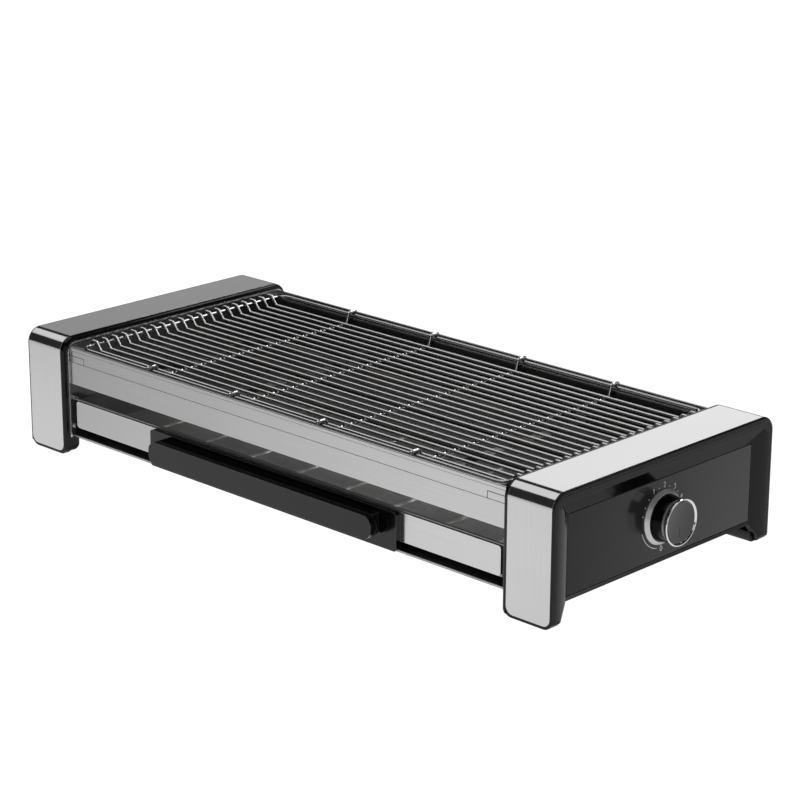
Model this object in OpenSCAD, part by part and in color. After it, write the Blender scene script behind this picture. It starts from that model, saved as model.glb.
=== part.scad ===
// Electric table grill: two end housings carry a sheet-metal body with a wire
// grid on top, a bent heating element inside and a drip drawer in the front.
// +X is the control end, -Y the drawer side and +Z up. The origin is the
// middle of the whole footprint, on the table.

/* [Body] */
// Length over the two end housings
body_length = 584; // [520:1:680]
// Depth over the steel strips, front to back
body_depth = 254; // [240:1:300]
// Height of the end housings
body_height = 103; // [95:1:117]
// Radius of the housings' upper corners
corner_r = 12.5; // [10:0.5:16]
// Wall of the black mouldings
frame_wall = 3; // [2.5:0.1:3.6]
// Gap from the table to the underside of the mouldings
frame_lift = 1; // [0.6:0.1:2]

/* [End housings] */
// Width of one end housing along the body
end_width = 47; // [44:0.5:60]
// Black lip between the steel strip and the body
lip_width = 3.2; // [2.5:0.1:5]
// Black rim outside the steel strip
rim_width = 1.5; // [1.2:0.1:2.6]
// Flat face of the rim, seen from the end
rim_face = 8.4; // [7:0.1:9]
// Depth of the sloped recess round the end panel
recess = 4.7; // [3:0.1:6]
// Width of that slope
slope_width = 11.7; // [8:0.1:14]
// Sheet thickness of the steel strips
strip_t = 0.8; // [0.5:0.1:1.2]
// Radius of the strips' lower corners
strip_corner = 6.5; // [3:0.5:8]
// Radius of the mouldings' lower corners, seen from the front
lower_r = 8.5; // [4:0.5:9]
// Thickness of the end panels
end_panel_t = 1.5; // [1:0.1:2]
// Height of the end panels' lower edge
panel_low = 21.2; // [19:0.1:23]
// Height of the black bar below the end panels
bar_h = 3.5; // [2:0.1:5]
// Height of the black band below the steel strips
strip_rise = 2.6; // [1.2:0.1:4]
// Radius of the quarter round on the inner foot
foot_round = 8; // [5:0.5:9]
// Height of the rubber feet
foot_h = 6.5; // [5:0.5:7]

/* [Sheet-metal body] */
// Sheet thickness of the panels
sheet_t = 0.8; // [0.6:0.1:1]
// Thickness of the end plates
plate_t = 1; // [0.8:0.1:1.2]
// Width of the end plates' folded edge
plate_fold = 2.2; // [1.8:0.1:3]
// Height of the base plate's underside
base_low = 17; // [15:0.5:18]
// Height of the hem on the base plate's front edge
lip_h = 1.8; // [1.6:0.1:4]
// Height of the front panel's lower edge
panel_bottom = 64.4; // [61:0.2:67]
// Distance from the housings' top down to the body's top edge
top_drop = 6.8; // [6:0.1:9]
// Height of the hem along the top edge
hem_h = 2.8; // [2:0.1:3.4]
// Width of the shelf behind that hem
shelf_w = 11; // [9:0.5:12]
// Distance from the body's top edge down to the pressed step in the panels
step_drop = 13.2; // [11:0.1:18]
// Depth of that step
step_d = 0.5; // [0.3:0.1:0.6]
// Length of the slit tabs at the panels' ends
tab_length = 18; // [12:0.5:26]
// Height of the slit tabs
tab_h = 5.3; // [3:0.1:7]

/* [Drawer] */
// Height of the top of the tray's rim
tray_top = 51; // [48:0.2:53]
// Height of the tray's floor, outside
tray_low = 25; // [22:0.5:29]
// Distance from the rear panel to the tray's rear wall
tray_back = 14.3; // [8:0.1:60]
// Overhang of the tray's rim on each side
tray_rim = 5; // [4:0.1:6]
// Spacing of the ribs in the tray's floor
rib_pitch = 54.3; // [40:0.1:62]
// Gap between the drawer's steel front and the end plates' edges
front_gap = 5.3; // [1.5:0.1:20]
// Lower edge of the steel front
front_low = 26.4; // [23:0.1:28]
// Height of the steel front
front_h = 22.9; // [18:0.1:23.4]

/* [Handle] */
// Length of the handle's back plate
plate_length = 276.6; // [200:1:300]
// Height of the handle's back plate
plate_h = 30.6; // [26:0.2:31]
// Length of the grip bar
grip_length = 250; // [180:1:260]
// Height of the grip bar
grip_h = 18.8; // [14:0.2:20]
// Thickness of the grip bar
grip_t = 5.5; // [4:0.1:8]
// Finger gap behind the grip bar
finger_gap = 8.2; // [6.5:0.1:14]

/* [Control] */
// Height of the knob's axis above the middle of the end panel
knob_rise = 0.6; // [-3:0.1:3]
// Radius of the knob's bright ring
knob_r = 18.1; // [15:0.1:20]
// How far the knob stands out of the end panel
knob_depth = 18.3; // [16:0.1:24]
// Outer radius of the silver dial ring
dial_r = 21.3; // [20.5:0.1:24]
// Radius of the control's shaft
shaft_r = 3; // [2.5:0.1:3.5]

/* [Wire grid] */
// Number of long wires
wires = 20; // [10:1:26]
// Distance from the rim's wire to the first long wire
wire_margin = 15; // [10:0.1:20]
// Radius of the long wires
wire_r = 1.25; // [1:0.05:1.5]
// Radius of the rim and the cross wires
rim_r = 1.4; // [1.25:0.05:1.8]
// Number of cross wires
cross_wires = 4; // [2:1:6]
// Spacing of the cross wires
cross_pitch = 98; // [60:1:120]
// Distance from the body's top edge down to the top of the long wires
wire_drop = 4.7; // [4.5:0.1:7]

/* [Heating element] */
// Radius of the element's tube
tube_r = 3.25; // [2.5:0.05:4]
// Spacing of the element's four legs
leg_pitch = 48; // [40:1:52]
// Place of the element between the tray's rim and the wires above it
tube_share = 0.45; // [0.3:0.01:0.6]

/* [Hidden] */
$fn = 64;

// Shared clearances: one overrun for all cuts, a gap between pieces that
// slide, a close gap between fixed pieces, the width of the fine grooves and
// a hair's gap at welds
cut = 1;
slide_gap = 0.3;
fit_gap = 0.15;
line_w = 0.6;
weld_gap = 0.05;
run_gap = 0.05;

// Overall half sizes
half_len = body_length / 2;
half_dep = body_depth / 2;
inner_x = half_len - end_width;
cavity_x = end_width - recess - end_panel_t - frame_wall * 0.7;

// End panel, inside the rim and its slope
panel_half = half_dep - rim_face - slope_width;
bar_low = panel_low - bar_h;
panel_high = body_height - rim_face - slope_width + 0.8 * strip_t;

// Housing's wall: the rounding of its lip, the place of the fine groove in its
// rim and the outline of the end wall behind that
lip_round = frame_wall / 2;
line_in = 2 * rim_width;
wall_in = (line_in + line_w + rim_face) / 2;

// End plate: it lies inside the lip of its housing
plate_depth = frame_wall + 3 * slide_gap;
plate_half = half_dep - plate_depth;
seat_depth = 2 * frame_wall;

// Front and rear panels, just inside the folded edges of the end plates
panel_y = plate_half - plate_t - fit_gap;
panel_len = inner_x - plate_t;
hem_len = inner_x - plate_fold - fit_gap;
hem_t = 2 * sheet_t;
panel_top = body_height - top_drop;
step_z = panel_top - step_drop;
shelf_z = panel_top - hem_h - fit_gap;
shelf_in = panel_y - shelf_w;
shelf_lip = 6;
bottom_fold = 6;
slit_w = 0.6;

// Reflectors that line the inside
reflector_t = 0.6;
reflector_clear = 5.8;
reflector_low = tray_top + reflector_clear;
reflector_in = 8;

// Base plate and the drawer above it
base_y = panel_y - hem_t;
lip_y = panel_y - hem_t - slide_gap;
tray_rim_half = inner_x - plate_fold - 2 * slide_gap;
tray_half = tray_rim_half - tray_rim;
rim_front = panel_y - 1.5 * hem_t;
tray_front = rim_front - hem_t;
tray_rim_r = 4;
rib_r = 6;
rib_rise = 1.4;
rib_count = 8;
rail_leg = tray_rim + plate_fold - plate_t;
rail_t = sheet_t;
tray_rear = panel_y - tray_back;
front_length = 2 * (inner_x - plate_fold - front_gap);
front_y = tray_front + 3 * sheet_t;
front_fold_r = 2.5;

// Handle
plate_low = front_low + front_h - plate_h;
handle_t = 4.6;
handle_y = front_y + handle_t;
grip_low = plate_low + plate_h - grip_h - 4 * sheet_t;
grip_y = handle_y + finger_gap + grip_t;
grip_r = 8;
neck_h = 8;
neck_inset = 5;
groove_w = 1.5;
back_rim_t = 2.6;
back_rim_inset = 0.6;
back_rim_w = 12;
handle_screw_r = 2;
handle_screw_x = grip_length * 0.36;
screw_head_h = 1.8;
screw_head_share = 1.8;

// Control: the panel's face carries everything
panel_x = half_len - recess;
knob_z = (panel_low + panel_high) / 2 + knob_rise;
knob_front = panel_x + knob_depth;
dial_h = 3.6;
dial_edge = 0.8;
knob_hole_r = knob_r;
knob_foot = 1;
knob_wall = 2;
ring_depth = 6;
ring_lip = 1.9;
ring_edge = 0.9;
ring_flare = 1.9;
ring_back_r = knob_r - ring_flare;
cap_r = knob_r - ring_lip;
cap_sink = 1;
cap_t = 2.2;
cap_gap = 0.7;
cap_r_front = cap_r - cap_gap;
dish_depth = 0.8;
pointer_w = 0.8;
hub_r = 6;
bush_r = 5;
bush_out = 3.4;
nut_h = 2.4;
nut_r = 8;
thermostat_size = [19, 34, 30];
cutout_size = [6, 14, 12];
cutout_y = 40;
cutout_z = panel_high - 0.2 * cutout_size[2];
lead_r = 1.3;

// Power inlet in the rear of the control housing: its flange fits between the
// housing's lip and the end wall
inlet_size = [27.6, 20.6];
inlet_flange = (cavity_x - frame_wall - inlet_size[0]) / 2 - 2 * fit_gap;
inlet_flange_t = 2.4;
inlet_depth = 24;
inlet_wall = 1.8;
inlet_cavity = 16;
inlet_v = (frame_wall + cavity_x) / 2;
blade = [2, 4];
blade_pitch = 7;
blade_length = 13;

// Feet and the floor of each leg; the rubber's rounding is a share of the leg's
foot_t = 2.5;
leg_web = 2.5;
leg_web_w = 11;
leg_web_top = 33;
foot_in = frame_wall + leg_web_w;
foot_inset = 0.5;
rubber_share = 0.6;
cover_t = 2;
cover_z = bar_low;
cover_half = panel_half - frame_wall;
cover_end = end_width - recess - end_panel_t - 0.7 * frame_wall;

// Screws between the end plates and the housings, and under the covers
boss_r = 4.5;
boss_h = 12;
boss_in = 11;
boss_y = half_dep - boss_in;
boss_low = 25.5;
boss_high = body_height - boss_low;
rib_t = 3;
screw_r = 1.6;
screw_length = 10;
cover_screw_v = end_width * 0.72;
cover_screw_in = 12;
cover_screw_y = panel_half - cover_screw_in;
cover_boss_h = 8;

// The inlet's middle lies between two screws, and the terminal block stands
// beside the rear boss of the cover
inlet_z = (boss_low + boss_high) / 2;
block_size = [22, 26, 14];
block_ways = 3;
block_gap = 2.4;
block_y = cover_screw_y - boss_r - block_gap - block_size[1];

// Wire grid: the rim lies on the panels' shelves and the bent-up ends of all
// the other wires lie on the rim
rim_z = shelf_z + slide_gap / 2 + rim_r;
rim_half_y = shelf_in + shelf_w * 0.36;
rim_in = 7.7;
rim_half_x = hem_len - rim_in;
rim_bend = 9;
wire_top = panel_top - wire_drop;
wire_pitch = 2 * (rim_half_y - wire_margin) / (wires - 1);
wire_bend = 1.4;
wire_sides = 8;
wire_run = 5.8;
tip_drop = 1.6;
flat_z = wire_top - wire_r;
crest_rise = rim_r + weld_gap + wire_r;
crest_z = rim_z + crest_rise;
crest_out = 4.4;
crest_x = rim_half_x + crest_out;

// The rising part turns level early enough to clear the rim below it
rise_angle = atan2(crest_z - flat_z, wire_run);
rise_x = rim_half_x - wire_bend - crest_rise * tan(rise_angle / 4) - weld_gap;
flat_x = rise_x - wire_run;
cross_z = flat_z - wire_r - rim_r - weld_gap;
cross_crest_z = rim_z + 2 * rim_r + weld_gap;
cross_out = 4.2;
cross_in = 5.2;
cross_run = 3;
cross_crest_y = rim_half_y + cross_out;
cross_rise_y = rim_half_y - cross_in;
cross_foot_y = cross_rise_y - cross_run;

// Heating element
bend_r = leg_pitch / 2;
plain_margin = 48;
control_margin = 54;
element_left = -inner_x + plain_margin;
element_right = inner_x - control_margin;
tube_z = tray_top + tube_share * (cross_z - rim_r - tray_top);
joint_pin_share = 0.6;
cold_end = 14;
stud_r = 1.5;
stud_length = 10;
lead_x = inner_x + cold_end + stud_length + lead_r;
bushing_r = 6.2;
bushing_h = 7;
bracket_w = 10;
bracket_x = inner_x / 2;

// The footprint's middle becomes the origin
shift = [-(knob_front - half_len) / 2, (grip_y - half_dep) / 2, 0];

// Turns a drawing in the depth and height plane so that it runs along +X
module along_x() rotate([90, 0, 90]) children();

// Repeats a piece at the front and, mirrored, at the rear
module front_and_rear() {
    children();
    mirror([0, 1, 0]) children();
}

// Mirrors a right-hand piece to the left end
module to_left() mirror([1, 0, 0]) children();

// Rectangle with round corners, centred in both directions
module round_rect(size, r) {
    square([size[0] - 2 * r, size[1]], center = true);
    square([size[0], size[1] - 2 * r], center = true);
    for (x = [-1, 1], y = [-1, 1])
        translate([x * (size[0] / 2 - r), y * (size[1] / 2 - r)]) circle(r = r);
}

// Outline of the housing, a given depth inside its outer surface, with the
// width across and the height up; it is round at the upper corners only
module arch_outline(depth, low) {
    half = half_dep - depth;
    top = body_height - depth;
    r = corner_r - depth;
    translate([-half, low]) square([2 * half, top - r - low]);
    translate([-half + r, low]) square([2 * (half - r), top - low]);
    for (side = [-1, 1])
        translate([side * (half - r), top - r]) circle(r = r);
}

// Carries a section along the legs, the corners and the top of the housing.
// In the section, x is the place against the outer surface, negative inwards,
// and y the distance from the housing's inner face.
module along_arch(low) {
    straight = body_height - corner_r - low;
    for (side = [0, 1]) mirror([side, 0, 0]) {
        translate([half_dep, body_height - corner_r, 0])
            rotate([90, 0, 0]) linear_extrude(straight) children();
        translate([half_dep - corner_r, body_height - corner_r, 0])
            rotate_extrude(angle = 90) translate([corner_r, 0]) children();
    }
    translate([-half_dep + corner_r, body_height, 0])
        rotate([0, 0, 90]) rotate([90, 0, 0])
            linear_extrude(2 * (half_dep - corner_r)) children();
}

// Section of the housing's wall: the rounded inner lip, the shallow seat of
// the steel strip, the rounded rim with a fine groove and the wall behind them
module wall_section() {
    seat_end = end_width - rim_width;
    lip_arc = [for (a = [0:15:90])
        [-lip_round * (1 - sin(a)), lip_width * (1 - cos(a))]];
    rim_arc = [for (a = [0:30:90])
        [-rim_width * (1 - cos(a)), seat_end + rim_width * sin(a)]];
    polygon(concat(
        [[-seat_depth, 0]], lip_arc,
        [[-strip_t, lip_width], [-strip_t, seat_end]], rim_arc,
        [[-line_in, end_width], [-line_in, end_width - line_w],
            [-line_in - line_w, end_width - line_w], [-line_in - line_w, end_width],
            [-rim_face, end_width], [-rim_face, cavity_x], [-frame_wall, cavity_x],
            [-frame_wall, frame_wall], [-seat_depth, frame_wall]]));
}

// Slopes of the recess in the end wall: a blunt wedge that is widest outside
module recess_wedge() {
    low = panel_low - slope_width;
    mid = (panel_low + panel_high) / 2;
    tall = panel_high - mid;
    floor_x = end_width - recess;
    grow = slope_width * (recess + cut) / recess;
    intersection() {
        translate([0, body_height]) rotate([90, 0, 0])
            linear_extrude(2 * body_height)
                polygon([[-panel_half, floor_x], [panel_half, floor_x],
                    [panel_half + grow, end_width + cut], [-panel_half - grow, end_width + cut]]);
        translate([-body_depth, mid]) rotate([90, 0, 90])
            linear_extrude(2 * body_depth)
                polygon([[-body_height, floor_x], [tall, floor_x],
                    [tall + grow, end_width + cut], [-body_height, end_width + cut]]);
    }
}

// Opening between the legs of the end wall, below the bar
module leg_cut() {
    foot = panel_half + slope_width;
    polygon([[-panel_half, bar_low], [panel_half, bar_low],
        [foot, frame_lift + rim_width], [foot, -cut], [-foot, -cut], [-foot, frame_lift + rim_width]]);
}

// Outer wall of the housing, with the recess, the seat of the panel and the
// opening between the legs
module end_wall() {
    difference() {
        translate([0, 0, cavity_x])
            linear_extrude(end_width - cavity_x) difference() {
                arch_outline(wall_in, frame_lift);
                leg_cut();
            }
        recess_wedge();
        translate([-panel_half, panel_low - line_w, end_width - recess - end_panel_t])
            cube([2 * panel_half, panel_high - panel_low + line_w, recess]);
    }
}

// Side view of a piece of a leg: a rectangle with a round lower corner inwards
module leg_side(inner, low, size, corner) {
    difference() {
        translate([inner, low]) square(size);
        difference() {
            translate([inner - cut, low - cut]) square(corner + cut);
            translate([inner + corner, low + corner]) circle(r = corner);
        }
    }
}

// Inner side of one leg, with its round lower corner, and the leg's floor
module leg_inside() {
    linear_extrude(leg_web)
        leg_side(half_dep - foot_in, frame_lift, [leg_web_w + weld_gap, leg_web_top],
            foot_round);
    translate([half_dep - foot_in + foot_inset, foot_h, 0])
        cube([leg_web_w - foot_inset + weld_gap, foot_t, cavity_x + weld_gap]);
}

// Screw boss with its rib to the wall, on the inner face of the housing
module wall_boss(z) {
    difference() {
        union() {
            translate([boss_y, z, 0]) cylinder(r = boss_r, h = boss_h);
            translate([boss_y, z - rib_t / 2, 0])
                cube([half_dep - boss_y - frame_wall + weld_gap, rib_t, boss_h]);
        }
        translate([boss_y, z, -cut]) cylinder(r = screw_r, h = boss_h + 2 * cut);
    }
}

// Boss above the bottom cover, standing on the end wall
module cover_boss() {
    difference() {
        translate([cover_screw_y - boss_r, cover_z + cover_t, cover_screw_v - boss_r])
            cube([2 * boss_r, cover_boss_h, cavity_x - cover_screw_v + boss_r + weld_gap]);
        translate([cover_screw_y, cover_z, cover_screw_v])
            rotate([-90, 0, 0]) cylinder(r = screw_r, h = cover_boss_h + cover_t + cut);
    }
}

// Rounds the two lower corners that a housing shows from the front
module lower_corners() {
    for (side = [0, 1]) translate([0, frame_lift, side * end_width]) mirror([0, 0, side])
        rotate([0, 90, 0]) linear_extrude(2 * body_depth, center = true) difference() {
            translate([-lower_r, -cut]) square([lower_r + cut, lower_r + cut]);
            translate([-lower_r, lower_r]) circle(r = lower_r);
        }
}

// Whole housing in its own plane, standing on its inner face
module end_frame() {
    difference() {
        union() {
            along_arch(frame_lift) wall_section();
            end_wall();
            for (side = [0, 1]) mirror([side, 0, 0]) {
                leg_inside();
                wall_boss(boss_high);
                wall_boss(boss_low);
                cover_boss();
            }
        }
        lower_corners();
    }
}

module left_end_frame() {
    color("#1c1c1e") to_left() translate([inner_x, 0, 0]) along_x() end_frame();
}

// The control housing also has the hole for the bush and the inlet's window
module right_end_frame() {
    color("#1c1c1e") difference() {
        translate([inner_x, 0, 0]) along_x() end_frame();
        bush_hole(inner_x + cavity_x);
        inlet_window(frame_wall);
    }
}

// Hole for the control's bush, from a place on the X axis outwards
module bush_hole(x) {
    translate([x - cut, 0, knob_z]) rotate([0, 90, 0])
        cylinder(r = bush_r + fit_gap, h = end_width);
}

// Window for the power inlet through the rear wall
module inlet_window(depth) {
    translate([inner_x + inlet_v - inlet_size[0] / 2 - fit_gap, half_dep - depth - cut,
            inlet_z - inlet_size[1] / 2 - fit_gap])
        cube([inlet_size[0] + 2 * fit_gap, depth + 2 * cut, inlet_size[1] + 2 * fit_gap]);
}

// Steel strip bent over the front, the top and the rear of a housing, with a
// fine gap on each side
module strip() {
    wide = end_width - rim_width - lip_width;
    low = frame_lift + strip_rise;
    difference() {
        translate([inner_x + lip_width + line_w, 0, 0]) along_x()
            linear_extrude(wide - 2 * line_w) difference() {
                arch_outline(0, low);
                arch_outline(strip_t, low - cut);
            }
        for (side = [0, 1]) strip_corner_cut(side, wide, low);
    }
}

// Rounds the lower corner of a strip on one side, front and rear at once
module strip_corner_cut(side, wide, low) {
    x = inner_x + lip_width + line_w + side * (wide - 2 * line_w);
    into = side == 0 ? 1 : -1;
    difference() {
        translate([x - strip_corner, -body_depth, low - strip_corner])
            cube([2 * strip_corner, 2 * body_depth, 2 * strip_corner]);
        translate([x + into * strip_corner, -body_depth - cut, low + strip_corner])
            rotate([-90, 0, 0]) cylinder(r = strip_corner, h = 2 * (body_depth + cut));
    }
}

module left_strip() color("#a9abad") to_left() strip();

module right_strip() {
    color("#d9dadb") difference() {
        strip();
        inlet_window(frame_wall);
    }
}

// Flat end panel in its seat, with a fine gap round it
module end_panel() {
    half = panel_half - line_w;
    translate([panel_x - end_panel_t, -half, panel_low])
        cube([end_panel_t, 2 * half, panel_high - panel_low - line_w]);
}

module left_end_panel() color("#26272a") to_left() end_panel();

module control_panel() {
    color("#26272a") difference() {
        end_panel();
        bush_hole(panel_x - end_panel_t);
    }
}

// Silver ring round the knob: a thin edge and a slope up to the knob
module dial_ring() {
    hole = knob_hole_r + slide_gap;
    color("#c9cacb") translate([panel_x, 0, knob_z]) rotate([0, 90, 0])
        rotate_extrude() polygon([[hole, 0], [dial_r, 0], [dial_r, dial_edge],
            [hole + dial_edge / 2, dial_h], [hole, dial_h]]);
}

// Cover that closes a housing from below, between its legs
module bottom_cover() {
    difference() {
        translate([inner_x + leg_web + fit_gap, -cover_half, cover_z])
            cube([cover_end - leg_web - 2 * fit_gap, 2 * cover_half, cover_t]);
        front_and_rear() translate([inner_x + cover_screw_v, cover_screw_y, cover_z - cut])
            cylinder(r = screw_r + fit_gap, h = cover_t + 2 * cut);
    }
}

module left_bottom_cover() color("#202123") to_left() bottom_cover();

module right_bottom_cover() color("#202123") bottom_cover();

// Four feet under the floors of the legs, round like the legs' inner corners
module rubber_feet() {
    color("#151515") for (side = [0, 1]) mirror([side, 0, 0])
        front_and_rear() translate([inner_x + lower_r, 0, 0]) along_x()
            linear_extrude(cavity_x - lower_r - fit_gap)
                leg_side(half_dep - foot_in + foot_inset, 0,
                    [leg_web_w - foot_inset - fit_gap, foot_h], rubber_share * foot_round);
}

// Outline of an end plate, inside the housing's lip
module plate_outline(inset) {
    arch_outline(plate_depth + inset, base_low - inset);
}

// End plate: a bright sheet with a folded edge that shows round the housing
module end_plate() {
    difference() {
        translate([inner_x - plate_fold, 0, 0]) along_x()
            linear_extrude(plate_fold) plate_outline(0);
        translate([inner_x - plate_fold - cut, 0, 0]) along_x()
            linear_extrude(plate_fold - plate_t + cut) plate_outline(plate_t);
        front_and_rear() for (z = [boss_low, boss_high])
            translate([inner_x - plate_t - cut, boss_y, z]) rotate([0, 90, 0])
                cylinder(r = screw_r + fit_gap, h = plate_t + 2 * cut);
    }
}

module left_end_plate() color("#c4c5c6") to_left() end_plate();

module right_end_plate() {
    color("#c4c5c6") difference() {
        end_plate();
        front_and_rear() translate([inner_x - plate_t - cut, 1.5 * leg_pitch, tube_z])
            rotate([0, 90, 0]) cylinder(r = tube_r + 1.5 * sheet_t + fit_gap, h = plate_t + 2 * cut);
    }
}

// Section of the upper part of a long panel, drawn with the depth outwards
// and the height up: web with its pressed step, hem, shelf and shelf lip
module panel_section(low) {
    translate([panel_y - sheet_t, low]) square([sheet_t, step_z - low]);
    translate([panel_y - sheet_t - step_d, step_z - sheet_t])
        square([sheet_t, shelf_z - step_z + sheet_t]);
    translate([shelf_in, shelf_z - sheet_t]) square([shelf_w - step_d, sheet_t]);
    translate([shelf_in, shelf_z - shelf_lip]) square([sheet_t, shelf_lip]);
}

// Hem along the top edge, rounded over
module hem_section() {
    straight = hem_h - hem_t / 2 + fit_gap;
    translate([panel_y - hem_t, shelf_z]) square([hem_t, straight]);
    translate([panel_y - hem_t / 2, shelf_z + straight]) circle(r = hem_t / 2);
}

// Long panel without its slits, with a fine groove under its hem
module long_panel(low) {
    translate([-panel_len, 0, 0]) along_x() linear_extrude(2 * panel_len) difference() {
        panel_section(low);
        translate([panel_y - step_d - sheet_t / 2, shelf_z - line_w]) square([sheet_t, line_w]);
    }
    translate([-hem_len, 0, 0]) along_x() linear_extrude(2 * hem_len) hem_section();
}

// Slits that free a tab at each end of a panel
module tab_slits() {
    deep = 2 * (sheet_t + step_d) + cut;
    for (side = [0, 1]) mirror([side, 0, 0])
        translate([hem_len - tab_length, panel_y - deep + cut, step_z]) {
            translate([0, 0, tab_h]) cube([tab_length + cut, deep, slit_w]);
            cube([slit_w, deep, tab_h + slit_w]);
        }
}

module front_panel() {
    color("#bdbec0") mirror([0, 1, 0]) difference() {
        union() {
            long_panel(panel_bottom);
            translate([-hem_len, panel_y - bottom_fold, panel_bottom])
                cube([2 * hem_len, bottom_fold, sheet_t]);
        }
        tab_slits();
    }
}

module rear_panel() {
    color("#bdbec0") difference() {
        long_panel(base_low + sheet_t);
        tab_slits();
    }
}

// Base plate with the hem that shows under the drawer
module base_plate() {
    color("#9a9b9d") {
        translate([-panel_len, -lip_y, base_low])
            cube([2 * panel_len, lip_y + base_y + hem_t, sheet_t]);
        translate([-hem_len, -lip_y, base_low]) cube([2 * hem_len, hem_t, lip_h]);
    }
}

// Sloped lining that hangs from a panel's shelf lip
module reflector() {
    top = shelf_z - sheet_t;
    bend = shelf_z - shelf_lip - cut;
    face = shelf_in;
    translate([-panel_len, 0, 0]) along_x() linear_extrude(2 * panel_len)
        polygon([[face, top], [face, bend], [face - reflector_in, reflector_low],
            [face - reflector_in - reflector_t, reflector_low],
            [face - reflector_t, bend], [face - reflector_t, top]]);
}

module front_reflector() color("#a6a7a8") mirror([0, 1, 0]) reflector();

module rear_reflector() color("#a6a7a8") reflector();

// Channel that carries one side of the tray's rim, with a stop at its rear end
module runner() {
    low = tray_top - sheet_t - slide_gap - rail_t;
    high = tray_top + slide_gap + rail_t;
    outer = inner_x - plate_t;
    front = tray_front + slide_gap;
    rear = tray_rear + tray_rim + slide_gap;
    translate([outer - rail_t, -front, low]) cube([rail_t, front + rear + rail_t, high - low]);
    for (z = [low, high - rail_t])
        translate([outer - rail_leg, -front, z]) cube([rail_leg, front + rear + rail_t, rail_t]);
    translate([outer - rail_leg, rear, low]) cube([rail_leg, rail_t, high - low]);
}

module left_runner() color("#8e8f91") to_left() runner();

module right_runner() color("#8e8f91") runner();

// Length that a bend takes from each straight beside it
function bend_trim(path, bend, i) = (i == 0 || i == len(path) - 1) ? 0
    : bend * tan(turn_at(path, i) / 2);

// Unit direction of the straight that starts at a point
function heading(path, i) = let (d = path[i + 1] - path[i]) d / norm(d);

// Angle by which the path turns at a point
function turn_at(path, i) = let (u = heading(path, i - 1), v = heading(path, i))
    acos(max(-1, min(1, u * v)));

// Rod of one radius that follows a flat path, with round bends at its corners.
// A thinner pin inside each joint keeps the bend and the straight one piece.
module bent_rod(path, r, bend) {
    last = len(path) - 1;
    for (i = [0:last - 1]) {
        u = heading(path, i);
        start = path[i] + u * bend_trim(path, bend, i);
        length = norm(path[i + 1] - path[i]) - bend_trim(path, bend, i) - bend_trim(path, bend, i + 1);
        translate([start[0], start[1], 0]) rotate([0, 90, atan2(u[1], u[0])]) {
            cylinder(r = r, h = length, $fn = 32);
            translate([0, 0, -fit_gap])
                cylinder(r = joint_pin_share * r, h = length + 2 * fit_gap, $fn = 32);
        }
    }
    for (i = [1:1:last - 1]) {
        u = heading(path, i - 1);
        v = heading(path, i);
        turn = turn_at(path, i);
        left = u[0] * v[1] - u[1] * v[0] > 0 ? 1 : -1;
        centre = path[i] - u * bend_trim(path, bend, i) + left * bend * [-u[1], u[0]];
        start = left > 0 ? atan2(-u[0], u[1]) : atan2(u[0], -u[1]) - turn;
        translate([centre[0], centre[1], 0]) rotate([0, 0, start])
            rotate_extrude(angle = turn) translate([bend, 0]) circle(r = r, $fn = 32);
    }
}

// Heating element: one tube in four legs, with a connecting stud at each end
module heating_element() {
    side = 1.5 * leg_pitch;
    inside = 0.5 * leg_pitch;
    end = inner_x + cold_end;
    color("#3a3a3c") translate([0, 0, tube_z]) {
        bent_rod([[end, -side], [element_left - bend_r, -side], [element_left - bend_r, -inside],
            [element_right + bend_r, -inside], [element_right + bend_r, inside],
            [element_left - bend_r, inside], [element_left - bend_r, side], [end, side]],
            tube_r, bend_r - weld_gap);
        front_and_rear() translate([end, side, 0]) rotate([0, 90, 0])
            cylinder(r = stud_r, h = stud_length);
    }
}

// Cross straps under the element, with ends turned up against the linings
module element_brackets() {
    top = tube_z - tube_r - weld_gap;
    slope = reflector_in / (shelf_z - shelf_lip - cut - reflector_low);
    reach = shelf_in - reflector_in - reflector_t + (top - sheet_t - reflector_low) * slope - fit_gap;
    color("#77787a") for (x = [-bracket_x, bracket_x]) {
        translate([x - bracket_w / 2, -reach, top - sheet_t])
            cube([bracket_w, 2 * reach, sheet_t]);
        front_and_rear() translate([x - bracket_w / 2, reach - sheet_t, top - sheet_t])
            cube([bracket_w, sheet_t, 2 * tube_r]);
    }
}

// Ceramic sleeves where the element passes through the control end
module element_bushings() {
    neck = tube_r + 1.5 * sheet_t;
    color("#e6e2d8") front_and_rear()
        translate([inner_x - plate_t, 1.5 * leg_pitch, tube_z]) rotate([0, 90, 0])
            difference() {
                union() {
                    cylinder(r = neck, h = bushing_h);
                    translate([0, 0, plate_t]) cylinder(r = bushing_r, h = bushing_h - plate_t);
                }
                translate([0, 0, -cut]) cylinder(r = tube_r + weld_gap, h = bushing_h + 2 * cut);
            }
}

// Thermostat box with its threaded bush
module thermostat() {
    back = inner_x + cavity_x - thermostat_size[0];
    color("#cfc9b8") difference() {
        union() {
            translate([back, -thermostat_size[1] / 2, knob_z - thermostat_size[2] / 2])
                cube(thermostat_size);
            translate([back + thermostat_size[0] - cut, 0, knob_z]) rotate([0, 90, 0])
                cylinder(r = bush_r, h = panel_x + bush_out - inner_x - cavity_x + cut);
        }
        translate([back + thermostat_size[0] / 3, 0, knob_z]) rotate([0, 90, 0])
            cylinder(r = shaft_r + run_gap, h = body_height);
    }
}

// Nut that holds the thermostat on the panel
module thermostat_nut() {
    color("#b8b9ba") translate([panel_x, 0, knob_z]) rotate([0, 90, 0]) difference() {
        cylinder(r = nut_r, h = nut_h, $fn = 6);
        translate([0, 0, -cut]) cylinder(r = bush_r + weld_gap, h = nut_h + 2 * cut);
    }
}

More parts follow.
